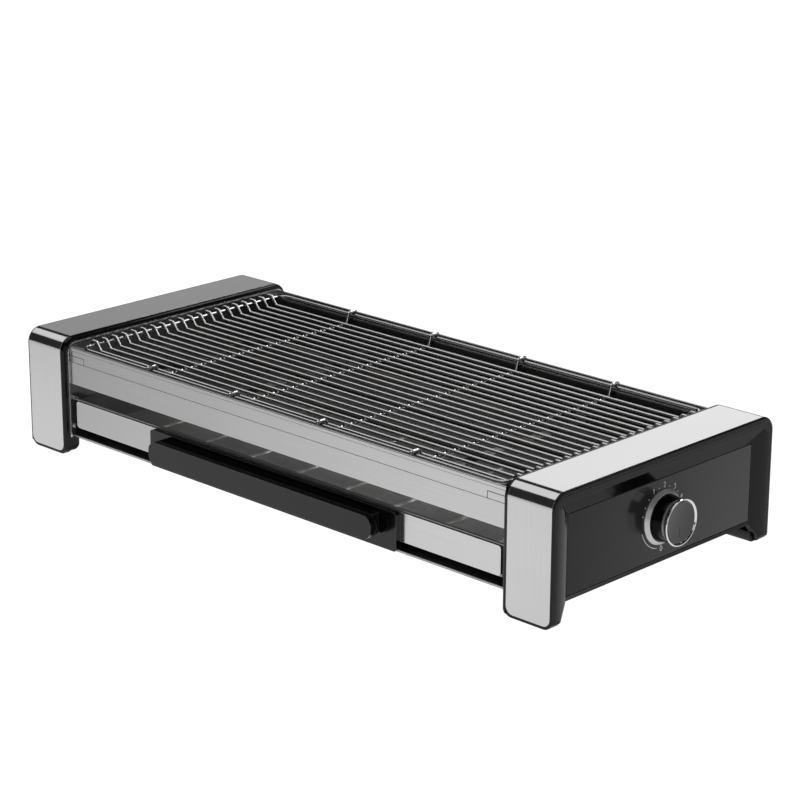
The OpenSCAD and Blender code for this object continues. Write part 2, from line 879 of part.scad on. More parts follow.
// Thermal cut-out clamped on the control end plate
module thermal_cutout() {
    color("#d8d2c0") translate([inner_x, cutout_y, cutout_z]) {
        translate([0, -cutout_size[1] / 2, -cutout_size[2] / 2]) cube(cutout_size);
        translate([cutout_size[0], 0, 0]) rotate([0, 90, 0])
            cylinder(r = cutout_size[2] / 3, h = cutout_size[0] / 3);
    }
}

// Terminal block on the bottom cover, below the element's rear stud
module terminal_block() {
    pitch = block_size[1] / block_ways;
    color("#e9e5da") difference() {
        translate([lead_x - block_size[0] / 2, block_y, cover_z + cover_t]) cube(block_size);
        for (i = [0:block_ways - 1])
            translate([lead_x, block_y + (i + 0.5) * pitch, cover_z + cover_t + block_size[2] / 2])
                cylinder(r = pitch / 4, h = block_size[2]);
    }
}

// Leads from the element's studs to the thermostat and the terminal block
module inner_leads() {
    side = 1.5 * leg_pitch;
    way = block_y + block_size[1] / 2;
    deep = cover_z + cover_t + block_size[2] * 0.6;
    color("#b9b4a6") translate([lead_x, 0, 0]) rotate([0, 0, 90]) {
        wire([[-side, tube_z], [-side, knob_z], [-thermostat_size[1] / 2 - weld_gap, knob_z]], lead_r);
        wire([[side, tube_z], [way, tube_z - block_size[2] / 2], [way, deep]], lead_r);
    }
}

// Appliance inlet: a socket with its flange behind the rear wall
module power_inlet() {
    inside = [inlet_size[0] - 2 * inlet_wall, inlet_size[1] - 2 * inlet_wall];
    color("#141414") translate([inner_x + inlet_v, half_dep, inlet_z]) rotate([90, 0, 0])
        difference() {
            union() {
                linear_extrude(inlet_depth) square(inlet_size, center = true);
                translate([0, 0, frame_wall + weld_gap]) linear_extrude(inlet_flange_t)
                    square([inlet_size[0] + 2 * inlet_flange, inlet_size[1] + 2 * inlet_flange],
                        center = true);
            }
            translate([0, 0, -cut]) linear_extrude(inlet_cavity + cut) square(inside, center = true);
        }
}

// Three contact blades in the inlet
module inlet_pins() {
    color("#c8b88a") for (i = [-1, 0, 1])
        translate([inner_x + inlet_v + i * blade_pitch - blade[0] / 2,
                half_dep - inlet_cavity, inlet_z - blade[1] / 2])
            cube([blade[0], blade_length, blade[1]]);
}

// Screw whose head lies on its seat, with the thread along +Z below it
module screw(r, length) {
    translate([0, 0, -length]) cylinder(r = r, h = length);
    cylinder(r = r * screw_head_share, h = screw_head_h);
}

// Screws from the inside of the body into the housings' bosses
module frame_screws() {
    color("#b0b1b3") for (side = [0, 1]) mirror([side, 0, 0])
        front_and_rear() for (z = [boss_low, boss_high])
            translate([inner_x - plate_t, boss_y, z]) rotate([0, -90, 0])
                screw(screw_r, screw_length);
}

// Screws that hold the bottom covers
module cover_screws() {
    color("#b0b1b3") for (side = [0, 1]) mirror([side, 0, 0])
        front_and_rear()
            translate([inner_x + cover_screw_v, cover_screw_y, cover_z]) rotate([180, 0, 0])
                screw(screw_r, cover_boss_h);
}

// Shaft of the control, from the thermostat into the knob
module thermostat_shaft() {
    start = inner_x + cavity_x - 2 * thermostat_size[0] / 3 + slide_gap;
    color("#b7b8ba") translate([start, 0, knob_z]) rotate([0, 90, 0])
        cylinder(r = shaft_r, h = knob_front - ring_depth - start);
}

// Black body of the knob: a hollow drum with a hub for the shaft
module knob_body() {
    back = knob_depth - ring_depth;
    hollow = knob_hole_r - knob_wall;
    color("#131314") translate([panel_x, 0, knob_z]) rotate([0, 90, 0]) difference() {
        rotate_extrude() polygon([[0, knob_foot], [knob_hole_r - weld_gap, knob_foot],
            [knob_hole_r - weld_gap, dial_h + cut], [ring_back_r + 2 * weld_gap, back],
            [ring_back_r - knob_wall, back], [ring_back_r - knob_wall, knob_depth - cap_t - cap_sink],
            [0, knob_depth - cap_t - cap_sink]]);
        difference() {
            translate([0, 0, -cut]) cylinder(r = hollow, h = back - knob_wall + cut);
            translate([0, 0, bush_out + slide_gap]) cylinder(r = hub_r, h = knob_depth);
        }
        translate([0, 0, -cut]) cylinder(r = shaft_r, h = back + cut);
    }
}

// Bright flared ring round the knob's front: a narrow edge, and a slope down
// to the cap inside it
module knob_ring() {
    back = knob_depth - ring_depth;
    hole = ring_back_r - knob_wall + weld_gap;
    edge = ring_edge / 3;
    color("#dcdddf") translate([panel_x, 0, knob_z]) rotate([0, 90, 0]) rotate_extrude()
        polygon([[hole, back], [ring_back_r, back], [knob_r, knob_depth - 2 * edge],
            [knob_r - edge, knob_depth], [knob_r - ring_edge, knob_depth],
            [cap_r, knob_depth - cap_sink], [cap_r, knob_depth - cap_t - cap_sink],
            [hole, knob_depth - cap_t - cap_sink]]);
}

// Dark cap in the ring, slightly dished, with a shoulder that leaves a fine
// gap round its face and a groove as the pointer
module knob_cap() {
    radius = cap_r - weld_gap;
    face = knob_depth - cap_sink;
    back = face - cap_t + weld_gap;
    shoulder = face - cap_t / 2;
    dish = [for (share = [0:0.25:1])
        [share * cap_r_front, face - dish_depth * (1 - share * share)]];
    color("#3b3c3f") translate([panel_x, 0, knob_z]) rotate([0, 90, 0]) difference() {
        rotate_extrude() polygon(concat(dish,
            [[cap_r_front, shoulder], [radius, shoulder], [radius, back], [0, back]]));
        translate([cap_r_front * 0.22, -pointer_w / 2, face - 1.6 * dish_depth])
            cube([cap_r_front * 0.56, pointer_w, cap_t]);
    }
}

// Tray of the drawer: a tub with a flat rim and ribs across its floor
module drawer_tray() {
    length = tray_rear + tray_front;
    color("#4a4b4d") difference() {
        union() {
            translate([-tray_half, -tray_front, tray_low])
                cube([2 * tray_half, length, tray_top - tray_low]);
            translate([0, (tray_rear + tray_rim - rim_front) / 2, tray_top - sheet_t])
                linear_extrude(sheet_t)
                    round_rect([2 * tray_rim_half, tray_rear + tray_rim + rim_front], tray_rim_r);
        }
        difference() {
            translate([-tray_half + sheet_t, -tray_front + sheet_t, tray_low + sheet_t])
                cube([2 * (tray_half - sheet_t), length - 2 * sheet_t, body_height]);
            for (i = [0:rib_count - 1]) tray_rib((i - (rib_count - 1) / 2) * rib_pitch);
        }
        for (x = [-handle_screw_x, handle_screw_x]) handle_screw_hole(x);
    }
}

// Rib across the tray's floor: the top of a round bar, sunk into the floor
module tray_rib(x) {
    margin = 4 * tray_rim;
    translate([x, -tray_front + margin, tray_low + sheet_t + rib_rise - rib_r]) rotate([-90, 0, 0])
        cylinder(r = rib_r, h = tray_rear + tray_front - 2 * margin);
}

// Height of the handle's screws
function handle_screw_z() = grip_low + grip_h - neck_h / 2 - 0.6 * sheet_t;

// Hole for a handle screw through everything in front of the tray
module handle_screw_hole(x) {
    translate([x, -grip_y, handle_screw_z()]) rotate([-90, 0, 0])
        cylinder(r = handle_screw_r + fit_gap, h = grip_y - tray_front + 2 * cut);
}

// Steel front of the drawer: a shallow pressed box, open to the rear
module drawer_front() {
    depth = front_y - tray_front;
    color("#cfd0d1") translate([0, -tray_front, front_low + front_h / 2]) rotate([90, 0, 0])
        difference() {
            linear_extrude(depth) round_rect([front_length, front_h], front_fold_r);
            translate([0, 0, -cut]) linear_extrude(depth - sheet_t + cut)
                square([front_length - 2 * front_fold_r, front_h - 2 * front_fold_r], center = true);
            for (x = [-handle_screw_x, handle_screw_x])
                translate([x, handle_screw_z() - front_low - front_h / 2, 0])
                    cylinder(r = handle_screw_r + fit_gap, h = depth + cut);
        }
}

// Back plate of the handle
module handle_plate() {
    color("#1b1b1d") difference() {
        translate([0, -front_y, plate_low + plate_h / 2]) rotate([90, 0, 0])
            linear_extrude(handle_t) round_rect([plate_length, plate_h], front_fold_r);
        for (x = [-handle_screw_x, handle_screw_x]) handle_screw_hole(x);
    }
}

// Rim behind the grip's groove, round its upper half and its two ends
module grip_back_rim(low) {
    translate([0, -handle_y - finger_gap + groove_w + back_rim_t, grip_low + grip_h / 2])
        rotate([90, 0, 0]) linear_extrude(back_rim_t) difference() {
            round_rect([grip_length - 2 * back_rim_inset, grip_h - 2 * back_rim_inset],
                grip_r - back_rim_inset);
            translate([-grip_length / 2 + back_rim_w, -grip_h])
                square([grip_length - 2 * back_rim_w, low - grip_low + grip_h / 2]);
        }
}

// Grip: a bar with round ends and a grooved back on a neck, open below for
// the fingers
module handle_grip() {
    top = grip_low + grip_h;
    neck_top = top - 0.6 * sheet_t;
    color("#1b1b1d") difference() {
        union() {
            translate([0, -grip_y + grip_t, grip_low + grip_h / 2]) rotate([90, 0, 0])
                linear_extrude(grip_t) round_rect([grip_length, grip_h], grip_r);
            translate([-grip_length / 2 + neck_inset, -grip_y + grip_t - weld_gap, neck_top - neck_h])
                cube([grip_length - 2 * neck_inset, finger_gap + weld_gap, neck_h]);
            grip_back_rim(neck_top - neck_h);
        }
        for (x = [-handle_screw_x, handle_screw_x])
            translate([x, -handle_y - finger_gap, handle_screw_z()]) rotate([-90, 0, 0])
                cylinder(r = handle_screw_r, h = finger_gap + cut);
    }
}

// Screws from inside the tray into the grip's neck
module handle_screws() {
    length = handle_y - tray_front + finger_gap * 0.8 + sheet_t;
    color("#b0b1b3") for (x = [-handle_screw_x, handle_screw_x])
        translate([x, -tray_front + sheet_t, handle_screw_z()]) rotate([-90, 0, 0])
            screw(handle_screw_r, length);
}

// Closed rim of the grid
module grid_rim() {
    x = rim_half_x;
    y = rim_half_y;
    color("#c9cac8") translate([0, 0, rim_z])
        bent_rod([[0, -y], [x, -y], [x, y], [-x, y], [-x, -y], [0, -y]], rim_r, rim_bend);
}

// Path of a wire: flat in the middle, its ends raised and then a little down.
// Each bend is two corners, and each raised end is given by its foot, its
// crest and its tip, as distance from the middle and height.
function wire_path(foot, rise, crest, tip) = let (
    half = concat(eased(foot, rise, [-1, 0]), eased(rise, crest, foot - rise), [crest, tip]))
    concat([for (i = [len(half) - 1:-1:0]) [-half[i][0], half[i][1]]], half);

// Two corners in place of one, wire_bend before and after it
function eased(corner, next, back) = [corner + wire_bend * back / norm(back),
    corner + wire_bend * (next - corner) / norm(next - corner)];

// Wire along a path of places and heights, with mitred corners; its sides
// lie flat at the wire's radius
module wire(path, r) {
    last = len(path) - 1;
    reach = r / cos(180 / wire_sides);
    rings = [for (i = [0:last]) let (
        back = heading(path, max(i - 1, 0)),
        on = heading(path, min(i, last - 1)),
        mid = (back + on) / norm(back + on),
        wide = reach / (mid * on))
        for (k = [0:wire_sides - 1]) let (a = (k + 0.5) * 360 / wire_sides)
            [path[i][0] - mid[1] * wide * cos(a), reach * sin(a),
                path[i][1] + mid[0] * wide * cos(a)]];
    walls = [for (i = [0:last - 1], k = [0:wire_sides - 1]) let (next = (k + 1) % wire_sides)
        [i * wire_sides + k, i * wire_sides + next,
            (i + 1) * wire_sides + next, (i + 1) * wire_sides + k]];
    polyhedron(rings, concat(walls,
        [[for (k = [wire_sides - 1:-1:0]) k]],
        [[for (k = [0:wire_sides - 1]) last * wire_sides + k]]));
}

// Long wires, bent up over the rim at both ends
module grid_long_wires() {
    path = wire_path([flat_x, flat_z], [rise_x, crest_z],
        [crest_x - wire_bend, crest_z], [crest_x, crest_z - tip_drop]);
    color("#c9cac8") for (i = [0:wires - 1])
        translate([0, (i - (wires - 1) / 2) * wire_pitch, 0])
            wire(path, wire_r);
}

// Cross wires under the long ones, their ends raised over the rim
module grid_cross_wires() {
    path = wire_path([cross_foot_y, cross_z], [cross_rise_y, cross_crest_z],
        [cross_crest_y - wire_bend, cross_crest_z], [cross_crest_y, cross_crest_z - fit_gap]);
    color("#c9cac8") for (i = [0:cross_wires - 1])
        translate([(i - (cross_wires - 1) / 2) * cross_pitch, 0, 0])
            rotate([0, 0, 90]) wire(path, rim_r);
}

// Every node stands in the same frame, moved to the footprint's middle
translate(shift) {
    left_end_frame();
    right_end_frame();
    left_strip();
    right_strip();
    left_end_panel();
    control_panel();
    dial_ring();
    left_bottom_cover();
    right_bottom_cover();
    rubber_feet();
    left_end_plate();
    right_end_plate();
    front_panel();
    rear_panel();
    base_plate();
    front_reflector();
    rear_reflector();
    left_runner();
    right_runner();
    heating_element();
    element_brackets();
    element_bushings();
    thermostat();
    thermostat_nut();
    thermal_cutout();
    terminal_block();
    inner_leads();
    power_inlet();
    inlet_pins();
    frame_screws();
    cover_screws();
    thermostat_shaft();
    knob_body();
    knob_ring();
    knob_cap();
    drawer_tray();
    drawer_front();
    handle_plate();
    handle_grip();
    handle_screws();
    grid_rim();
    grid_long_wires();
    grid_cross_wires();
}
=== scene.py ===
"""Looks of an electric table grill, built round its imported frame.

The frame gives every solid in metres: +X is the control end, -Y the drawer
side and +Z up. Each sub-assembly below dresses its own solids and adds the
pieces that the solids leave to the looks.
"""

import logging
import math
from abc import ABC, abstractmethod
from dataclasses import dataclass, field
from enum import Enum
from typing import Union

import bpy
import numpy as np
from mathutils import Euler, Matrix, Vector


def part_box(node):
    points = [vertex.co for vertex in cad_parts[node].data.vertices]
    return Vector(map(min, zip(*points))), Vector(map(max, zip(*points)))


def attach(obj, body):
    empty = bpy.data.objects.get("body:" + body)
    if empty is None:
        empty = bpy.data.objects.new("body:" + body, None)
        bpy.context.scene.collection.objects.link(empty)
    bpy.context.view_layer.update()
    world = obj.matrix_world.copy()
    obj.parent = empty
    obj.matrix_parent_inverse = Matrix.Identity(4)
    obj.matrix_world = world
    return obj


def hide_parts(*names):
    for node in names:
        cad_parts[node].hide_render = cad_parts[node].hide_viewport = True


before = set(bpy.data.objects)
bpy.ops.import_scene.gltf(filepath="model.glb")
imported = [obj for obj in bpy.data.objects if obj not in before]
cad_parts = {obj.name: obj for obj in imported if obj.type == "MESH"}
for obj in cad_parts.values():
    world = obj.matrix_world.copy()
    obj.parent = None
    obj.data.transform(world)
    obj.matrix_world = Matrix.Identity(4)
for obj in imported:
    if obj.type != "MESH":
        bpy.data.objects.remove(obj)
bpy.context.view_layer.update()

log = logging.getLogger("grill")

MM = 0.001

Colour = tuple[float, float, float, float]
Point = tuple[float, float, float]
Span = tuple[float, float]
Socket = bpy.types.NodeSocket
Feed = Union[Socket, float, Colour, Point]
Shell = tuple[np.ndarray, list[list[int]]]

TO_CONTROL = np.array([1.0, 0.0, 0.0])
TO_REAR = np.array([0.0, 1.0, 0.0])
UP = np.array([0.0, 0.0, 1.0])


class Body(Enum):
    """Bodies of the frame that new pieces ride on."""

    GRILL = "grill"
    GRID = "grid"


class Lay(Enum):
    """Direction in which a sheet was brushed."""

    ALONG_X = 1.0
    ROUND_THE_HOUSING = 0.0


def grey(value: float, warmth: float = 0.0) -> Colour:
    """Returns an opaque grey, warmer for a positive warmth."""
    return (value * (1 + warmth), value, value * (1 - warmth), 1.0)


def scaled(colour: Colour, share: float) -> Colour:
    """Returns a colour with each part times a share, held at 1."""
    return (*(min(1.0, part * share) for part in colour[:3]), 1.0)


def raised(colour: Colour, amount: float) -> Colour:
    """Returns a colour with an amount added to each part, held at 1."""
    return (*(min(1.0, part + amount) for part in colour[:3]), 1.0)


NOISE_SPAN = (0.3, 0.7)  # where most values of a noise lie
DUST_COLOUR = grey(0.45, 0.03)


class Graph:
    """Node tree under construction, with short calls for its usual steps."""

    def __init__(self, tree: bpy.types.NodeTree) -> None:
        """Keeps the tree that the nodes go into."""
        self.tree = tree

    def node(self, kind: str, feeds: dict[str | int, Feed] | None = None,
             **settings: object) -> bpy.types.Node:
        """Adds a node, sets it up and feeds its inputs.

        Args:
            kind: Blender's name of the node type.
            feeds: value or socket for each named or numbered input.
            **settings: attributes of the node.

        Returns:
            The new node.
        """
        made = self.tree.nodes.new(kind)
        for key, value in settings.items():
            setattr(made, key, value)
        for key, value in (feeds or {}).items():
            self.feed(made.inputs[key], value)
        return made

    def feed(self, target: Socket, value: Feed) -> None:
        """Links a socket to an input, or sets the input's own value.

        Args:
            target: the input.
            value: the socket or value that it takes.
        """
        if isinstance(value, bpy.types.NodeSocket):
            self.tree.links.new(value, target)
        else:
            target.default_value = value

    def calc(self, operation: str, first: Feed, second: Feed = 0.0) -> Socket:
        """Adds one Math node and returns its result."""
        return self.node("ShaderNodeMath", {0: first, 1: second}, operation=operation).outputs[0]

    def spread(self, value: Feed, low: float, high: float, to_low: Feed, to_high: Feed) -> Socket:
        """Carries a value from one range to another, held at its ends."""
        return self.node("ShaderNodeMapRange", {0: value, 1: low, 2: high, 3: to_low, 4: to_high}).outputs[0]

    def mix(self, factor: Feed, first: Feed, second: Feed) -> Socket:
        """Mixes two numbers and returns the result."""
        return self.node("ShaderNodeMix", {0: factor, 2: first, 3: second}).outputs[0]

    def blend(self, factor: Feed, first: Feed, second: Feed) -> Socket:
        """Mixes two colours and returns the result."""
        return self.node("ShaderNodeMix", {0: factor, 6: first, 7: second}, data_type="RGBA").outputs[2]

    def noise(self, place: Feed, scale: Feed, detail: float = 3.0, roughness: float = 0.5) -> Socket:
        """Adds a noise texture and returns its value."""
        feeds = {"Vector": place, "Scale": scale, "Detail": detail, "Roughness": roughness}
        return self.node("ShaderNodeTexNoise", feeds).outputs[0]


class Effects:
    """Shader node groups that several finishes share, each built once."""

    def __init__(self) -> None:
        """Builds every group."""
        self.brushed = self._brushed()
        self.mottle = self._mottle()
        self.facing = self._facing()
        self.edges = self._edges()
        self.dust = self._dust()

    @staticmethod
    def _start(name: str, numbers: dict[str, float], outputs: tuple[str, ...],
               reads_place: bool = True) -> tuple[Graph, bpy.types.Node, bpy.types.Node]:
        """Opens a group with its sockets.

        Args:
            name: name of the group.
            numbers: default of each number that goes in.
            outputs: names of the numbers that come out.
            reads_place: whether the place on the piece goes in too.

        Returns:
            The graph, the group's input node and its output node.
        """
        tree = bpy.data.node_groups.new(name, "ShaderNodeTree")
        if reads_place:
            tree.interface.new_socket("Place", in_out="INPUT", socket_type="NodeSocketVector")
        for label, default in numbers.items():
            made = tree.interface.new_socket(label, in_out="INPUT", socket_type="NodeSocketFloat")
            made.default_value = default
        for label in outputs:
            tree.interface.new_socket(label, in_out="OUTPUT", socket_type="NodeSocketFloat")
        graph = Graph(tree)
        return graph, graph.node("NodeGroupInput"), graph.node("NodeGroupOutput")

    def _brushed(self) -> bpy.types.NodeTree:
        """Builds fine and broad streaks: noise squeezed across the brushing and drawn out along it.

        Lay is 1 where the brushing follows X. It is 0 where it goes round a
        housing, and the distance along it is then Y plus Z.

        Returns:
            The group.
        """
        graph, given, result = self._start(
            "brushed_streaks", {"Lay": 0.0, "Across": 1400.0, "Along": 9.0}, ("Fine", "Broad"))
        parts = graph.node("ShaderNodeSeparateXYZ", {0: given.outputs["Place"]}).outputs
        round_housing = graph.calc("ADD", parts[1], parts[2])
        across = graph.mix(given.outputs["Lay"], parts[0], round_housing)
        along = graph.mix(given.outputs["Lay"], round_housing, parts[0])
        for label, across_share, along_share in (("Fine", 1.0, 1.0), ("Broad", 0.16, 0.3)):
            squeeze = graph.calc("MULTIPLY", given.outputs["Across"], across_share)
            draw = graph.calc("MULTIPLY", given.outputs["Along"], along_share)
            place = graph.node("ShaderNodeCombineXYZ", {0: graph.calc("MULTIPLY", across, squeeze),
                                                        1: graph.calc("MULTIPLY", along, draw)})
            streaks = graph.noise(place.outputs[0], 1.0, detail=4.0, roughness=0.62)
            graph.feed(result.inputs[label], streaks)
        return graph.tree

    def _mottle(self, finer: float = 6.0, fine_share: float = 0.35) -> bpy.types.NodeTree:
        """Builds soft blotches with a finer grain in them: the sum of two noises.

        Args:
            finer: how many times finer the grain is than the blotches.
            fine_share: share of the grain in the sum.

        Returns:
            The group.
        """
        graph, given, result = self._start("mottle", {"Scale": 30.0}, ("Value", "Grain"))
        place, scale = given.outputs["Place"], given.outputs["Scale"]
        broad = graph.noise(place, scale)
        fine = graph.noise(place, graph.calc("MULTIPLY", scale, finer), detail=2.0)
        mixed = graph.calc("ADD", graph.calc("MULTIPLY", broad, 1.0 - fine_share),
                           graph.calc("MULTIPLY", fine, fine_share))
        graph.feed(result.inputs["Value"], mixed)
        graph.feed(result.inputs["Grain"], fine)
        return graph.tree

    def _facing(self, up_span: Span = (0.2, 0.95), down_span: Span = (0.35, -0.75)) -> bpy.types.NodeTree:
        """Builds masks of what faces up and what faces down, from the height part of the normal.

        Args:
            up_span: height parts at which the mask of what faces up starts and is full.
            down_span: the same for what faces down.

        Returns:
            The group.
        """
        graph, _, result = self._start("up_and_down", {}, ("Up", "Down"), reads_place=False)
        normal = graph.node("ShaderNodeNewGeometry").outputs["Normal"]
        height = graph.node("ShaderNodeSeparateXYZ", {0: normal}).outputs[2]
        graph.feed(result.inputs["Up"], graph.spread(height, *up_span, 0.0, 1.0))
        graph.feed(result.inputs["Down"], graph.spread(height, *down_span, 0.0, 1.0))
        return graph.tree

    def _edges(self, agreement_span: Span = (0.995, 0.86), gaps: float = 140.0,
               least: float = 0.7) -> bpy.types.NodeTree:
        """Builds a mask of edges, for paler rubbed edges and painted highlight lines: where a rounded normal
        leaves the true one, broken up by noise.

        Args:
            agreement_span: dot products of the two normals at which the mask starts and is full.
            gaps: thinner stretches over a metre.
            least: what is left of the mask in them.

        Returns:
            The group.
        """
        graph, given, result = self._start("worn_and_highlit_edges", {"Radius": 0.6 * MM}, ("Mask",))
        rounded = graph.node("ShaderNodeBevel", {"Radius": given.outputs["Radius"]}, samples=4).outputs[0]
        normal = graph.node("ShaderNodeNewGeometry").outputs["Normal"]
        agree = graph.node("ShaderNodeVectorMath", {0: rounded, 1: normal}, operation="DOT_PRODUCT")
        edge = graph.spread(agree.outputs["Value"], *agreement_span, 0.0, 1.0)
        noise = graph.noise(given.outputs["Place"], gaps, detail=4.0)
        broken = graph.spread(noise, 0.35, 0.7, least, 1.0)
        graph.feed(result.inputs["Mask"], graph.calc("MULTIPLY", edge, broken))
        return graph.tree

    def _dust(self, clouds: float = 55.0, least: float = 0.1) -> bpy.types.NodeTree:
        """Builds a thin uneven film of dust on what faces up: that mask times a cloudy noise.

        Args:
            clouds: clouds over a metre.
            least: what is left of the film between them.

        Returns:
            The group.
        """
        graph, given, result = self._start("dust", {"Amount": 0.1}, ("Mask",))
        up = graph.node("ShaderNodeGroup", node_tree=self.facing).outputs["Up"]
        noise = graph.noise(given.outputs["Place"], clouds, detail=6.0, roughness=0.7)
        film = graph.calc("MULTIPLY", up, graph.spread(noise, 0.38, 0.72, least, 1.0))
        graph.feed(result.inputs["Mask"], graph.calc("MULTIPLY", film, given.outputs["Amount"]))
        return graph.tree


class Surface(Graph):
    """Material under construction round one Principled shader."""

    def __init__(self, tree: bpy.types.NodeTree, effects: Effects) -> None:
        """Empties the tree and places the shader, its output and the place on the piece.

        Args:
            tree: the material's node tree.
            effects: the shared node groups.
        """
        super().__init__(tree)
        tree.nodes.clear()
        self.effects = effects
        self.place = self.node("ShaderNodeTexCoord").outputs["Object"]
        self.shader = self.node("ShaderNodeBsdfPrincipled")
        self.node("ShaderNodeOutputMaterial", {"Surface": self.shader.outputs[0]}, is_active_output=True)

    def set(self, name: str, value: Feed) -> None:
        """Feeds one of the shader's inputs."""
        self.feed(self.shader.inputs[name], value)

    def parts(self) -> tuple[Socket, Socket, Socket]:
        """Returns the three coordinates of the place on the piece."""
        return tuple(self.node("ShaderNodeSeparateXYZ", {0: self.place}).outputs)

    def effect(self, group: bpy.types.NodeTree, **numbers: float) -> dict[str, Socket]:
        """Places a shared group, fed with the place on the piece where it reads that.

        Args:
            group: the shared group.
            **numbers: values of its numbers.

        Returns:
            The group's outputs by name.
        """
        made = self.node("ShaderNodeGroup", numbers, node_tree=group)
        if "Place" in made.inputs:
            self.feed(made.inputs["Place"], self.place)
        return {output.name: output for output in made.outputs}

    def bump(self, height: Socket, depth_mm: float) -> None:
        """Feeds the shader's normal with a bump of a height and a depth in millimetres."""
        made = self.node("ShaderNodeBump", {"Height": height, "Distance": depth_mm * MM, "Strength": 1.0})
        self.set("Normal", made.outputs[0])


@dataclass(frozen=True)
class Finish(ABC):
    """Surface finish: a name, a base colour and a roughness, which subclasses refine.

    Attributes:
        name: name of the finish.
        colour: base colour.
        roughness: mean roughness.
    """

    name: str
    colour: Colour
    roughness: float

    def material(self, effects: Effects) -> bpy.types.Material:
        """Returns the finish's material, built on first use.

        Its name ends in _look, because the frame's plain materials already
        hold some of the finishes' names.

        Args:
            effects: the shared node groups.

        Returns:
            The material.
        """
        label = f"{self.name}_look"
        if label in bpy.data.materials:
            return bpy.data.materials[label]
        made = bpy.data.materials.new(label)
        made.use_nodes = True
        made.diffuse_color = self.colour
        surface = Surface(made.node_tree, effects)
        surface.set("Base Color", self.colour)
        surface.set("Roughness", self.roughness)
        self.paint(surface)
        return made

    @abstractmethod
    def paint(self, surface: Surface) -> None:
        """Feeds the shader with this finish's detail.

        Args:
            surface: the material under construction.
        """

    def roughen(self, surface: Surface, pattern: Socket, span: Span, shares: Span) -> None:
        """Feeds the shader's roughness from a pattern.

        Args:
            surface: the material under construction.
            pattern: the pattern.
            span: values of the pattern that count.
            shares: roughness at those values, as shares of the mean.
        """
        low, high = (min(1.0, self.roughness * share) for share in shares)
        surface.set("Roughness", surface.spread(pattern, *span, low, high))


@dataclass(frozen=True)
class BrushedSteel(Finish):
    """Brushed sheet with long streaks in tone, roughness and relief, painted shade toward its plain end and
    a painted highlight line along its edges.

    Attributes:
        lay: direction of the brushing.
        across: streaks over a metre, across the brushing.
        contrast: how far the streaks change the tone.
        depth_mm: depth of the streaks.
        uneven: how much rougher the sheet is across its brushing.
        painted_end_shade: how much darker it is painted at the plain end than at the control end, as painted
            shade.
        painted_end_shade_span: places along X where that painted shade is full and where it ends.
        edge_mm: width of the painted highlight line along its edges.
        painted_highlight_share: how far that painted highlight line scatters light instead of mirroring it.
        painted_highlight_colour: colour of that painted highlight line.
        blotches: blotches over a metre.
    """

    lay: Lay = Lay.ALONG_X
    across: float = 1500.0
    contrast: float = 0.12
    depth_mm: float = 0.004
    uneven: float = 0.4
    painted_end_shade: float = 0.0
    painted_end_shade_span: Span = (-0.25, 0.2)
    edge_mm: float = 0.5
    painted_highlight_share: float = 0.8
    painted_highlight_colour: Colour = grey(0.95)
    blotches: float = 14.0

    def paint(self, surface: Surface) -> None:
        """Feeds tone, roughness and relief from the brushed streaks, with painted shade toward the plain end
        and a painted highlight line along the edges.

        Args:
            surface: the material under construction.
        """
        quarter_turn = 0.25
        surface.set("Anisotropic", self.uneven)
        surface.set("Anisotropic Rotation", quarter_turn * self.lay.value)
        streaks = surface.effect(surface.effects.brushed, Lay=self.lay.value, Across=self.across)
        cloud = surface.effect(surface.effects.mottle, Scale=self.blotches)
        edges = surface.effect(surface.effects.edges, Radius=self.edge_mm * MM)["Mask"]
        dark, light = scaled(self.colour, 1 - self.contrast), scaled(self.colour, 1 + self.contrast)
        streaked = surface.blend(surface.spread(streaks["Fine"], *NOISE_SPAN, 0.0, 1.0), dark, light)
        # Painted shade: the sheet's colour is darkened toward the plain end.
        shade = surface.spread(surface.parts()[0], *self.painted_end_shade_span, self.painted_end_shade, 0.0)
        sheet = surface.blend(shade, streaked, scaled(self.colour, 1 - self.painted_end_shade))
        # Painted highlight: the edge mask turns the colour pale and lowers metallic, so a bright line stands
        # in for the glint along the edges.
        surface.set("Base Color", surface.blend(edges, sheet, self.painted_highlight_colour))
        surface.set("Metallic", surface.spread(edges, 0.0, 1.0, 1.0, 1 - self.painted_highlight_share))
        uneven = surface.calc("MULTIPLY", streaks["Broad"], cloud["Value"])
        self.roughen(surface, uneven, (0.1, 0.45), (0.8, 1.25))
        surface.bump(streaks["Fine"], self.depth_mm)


@dataclass(frozen=True)
class DullSheet(Finish):
    """Plain rolled or heat-dulled sheet, blotched, with a trace of rolling marks.

    Attributes:
        stain: colour of the blotches.
        stain_share: how much the blotches show.
        metallic: metallic share of the surface.
        blotches: blotches over a metre.
        mark_across: rolling marks over a metre, across the rolling.
        mark_along: the same along it.
        mark_mm: depth of those marks.
    """

    stain: Colour = grey(0.2, 0.1)
    stain_share: float = 0.4
    metallic: float = 1.0
    blotches: float = 24.0
    mark_across: float = 500.0
    mark_along: float = 4.0
    mark_mm: float = 0.01

    def paint(self, surface: Surface) -> None:
        """Feeds tone and roughness from blotches, and relief from rolling marks.

        Args:
            surface: the material under construction.
        """
        surface.set("Metallic", self.metallic)
        cloud = surface.effect(surface.effects.mottle, Scale=self.blotches)
        marks = surface.effect(surface.effects.brushed, Lay=Lay.ALONG_X.value, Across=self.mark_across,
                               Along=self.mark_along)
        stained = surface.spread(cloud["Value"], 0.38, 0.66, 0.0, self.stain_share)
        surface.set("Base Color", surface.blend(stained, self.colour, self.stain))
        self.roughen(surface, cloud["Grain"], NOISE_SPAN, (0.8, 1.3))
        surface.bump(marks["Broad"], self.mark_mm)


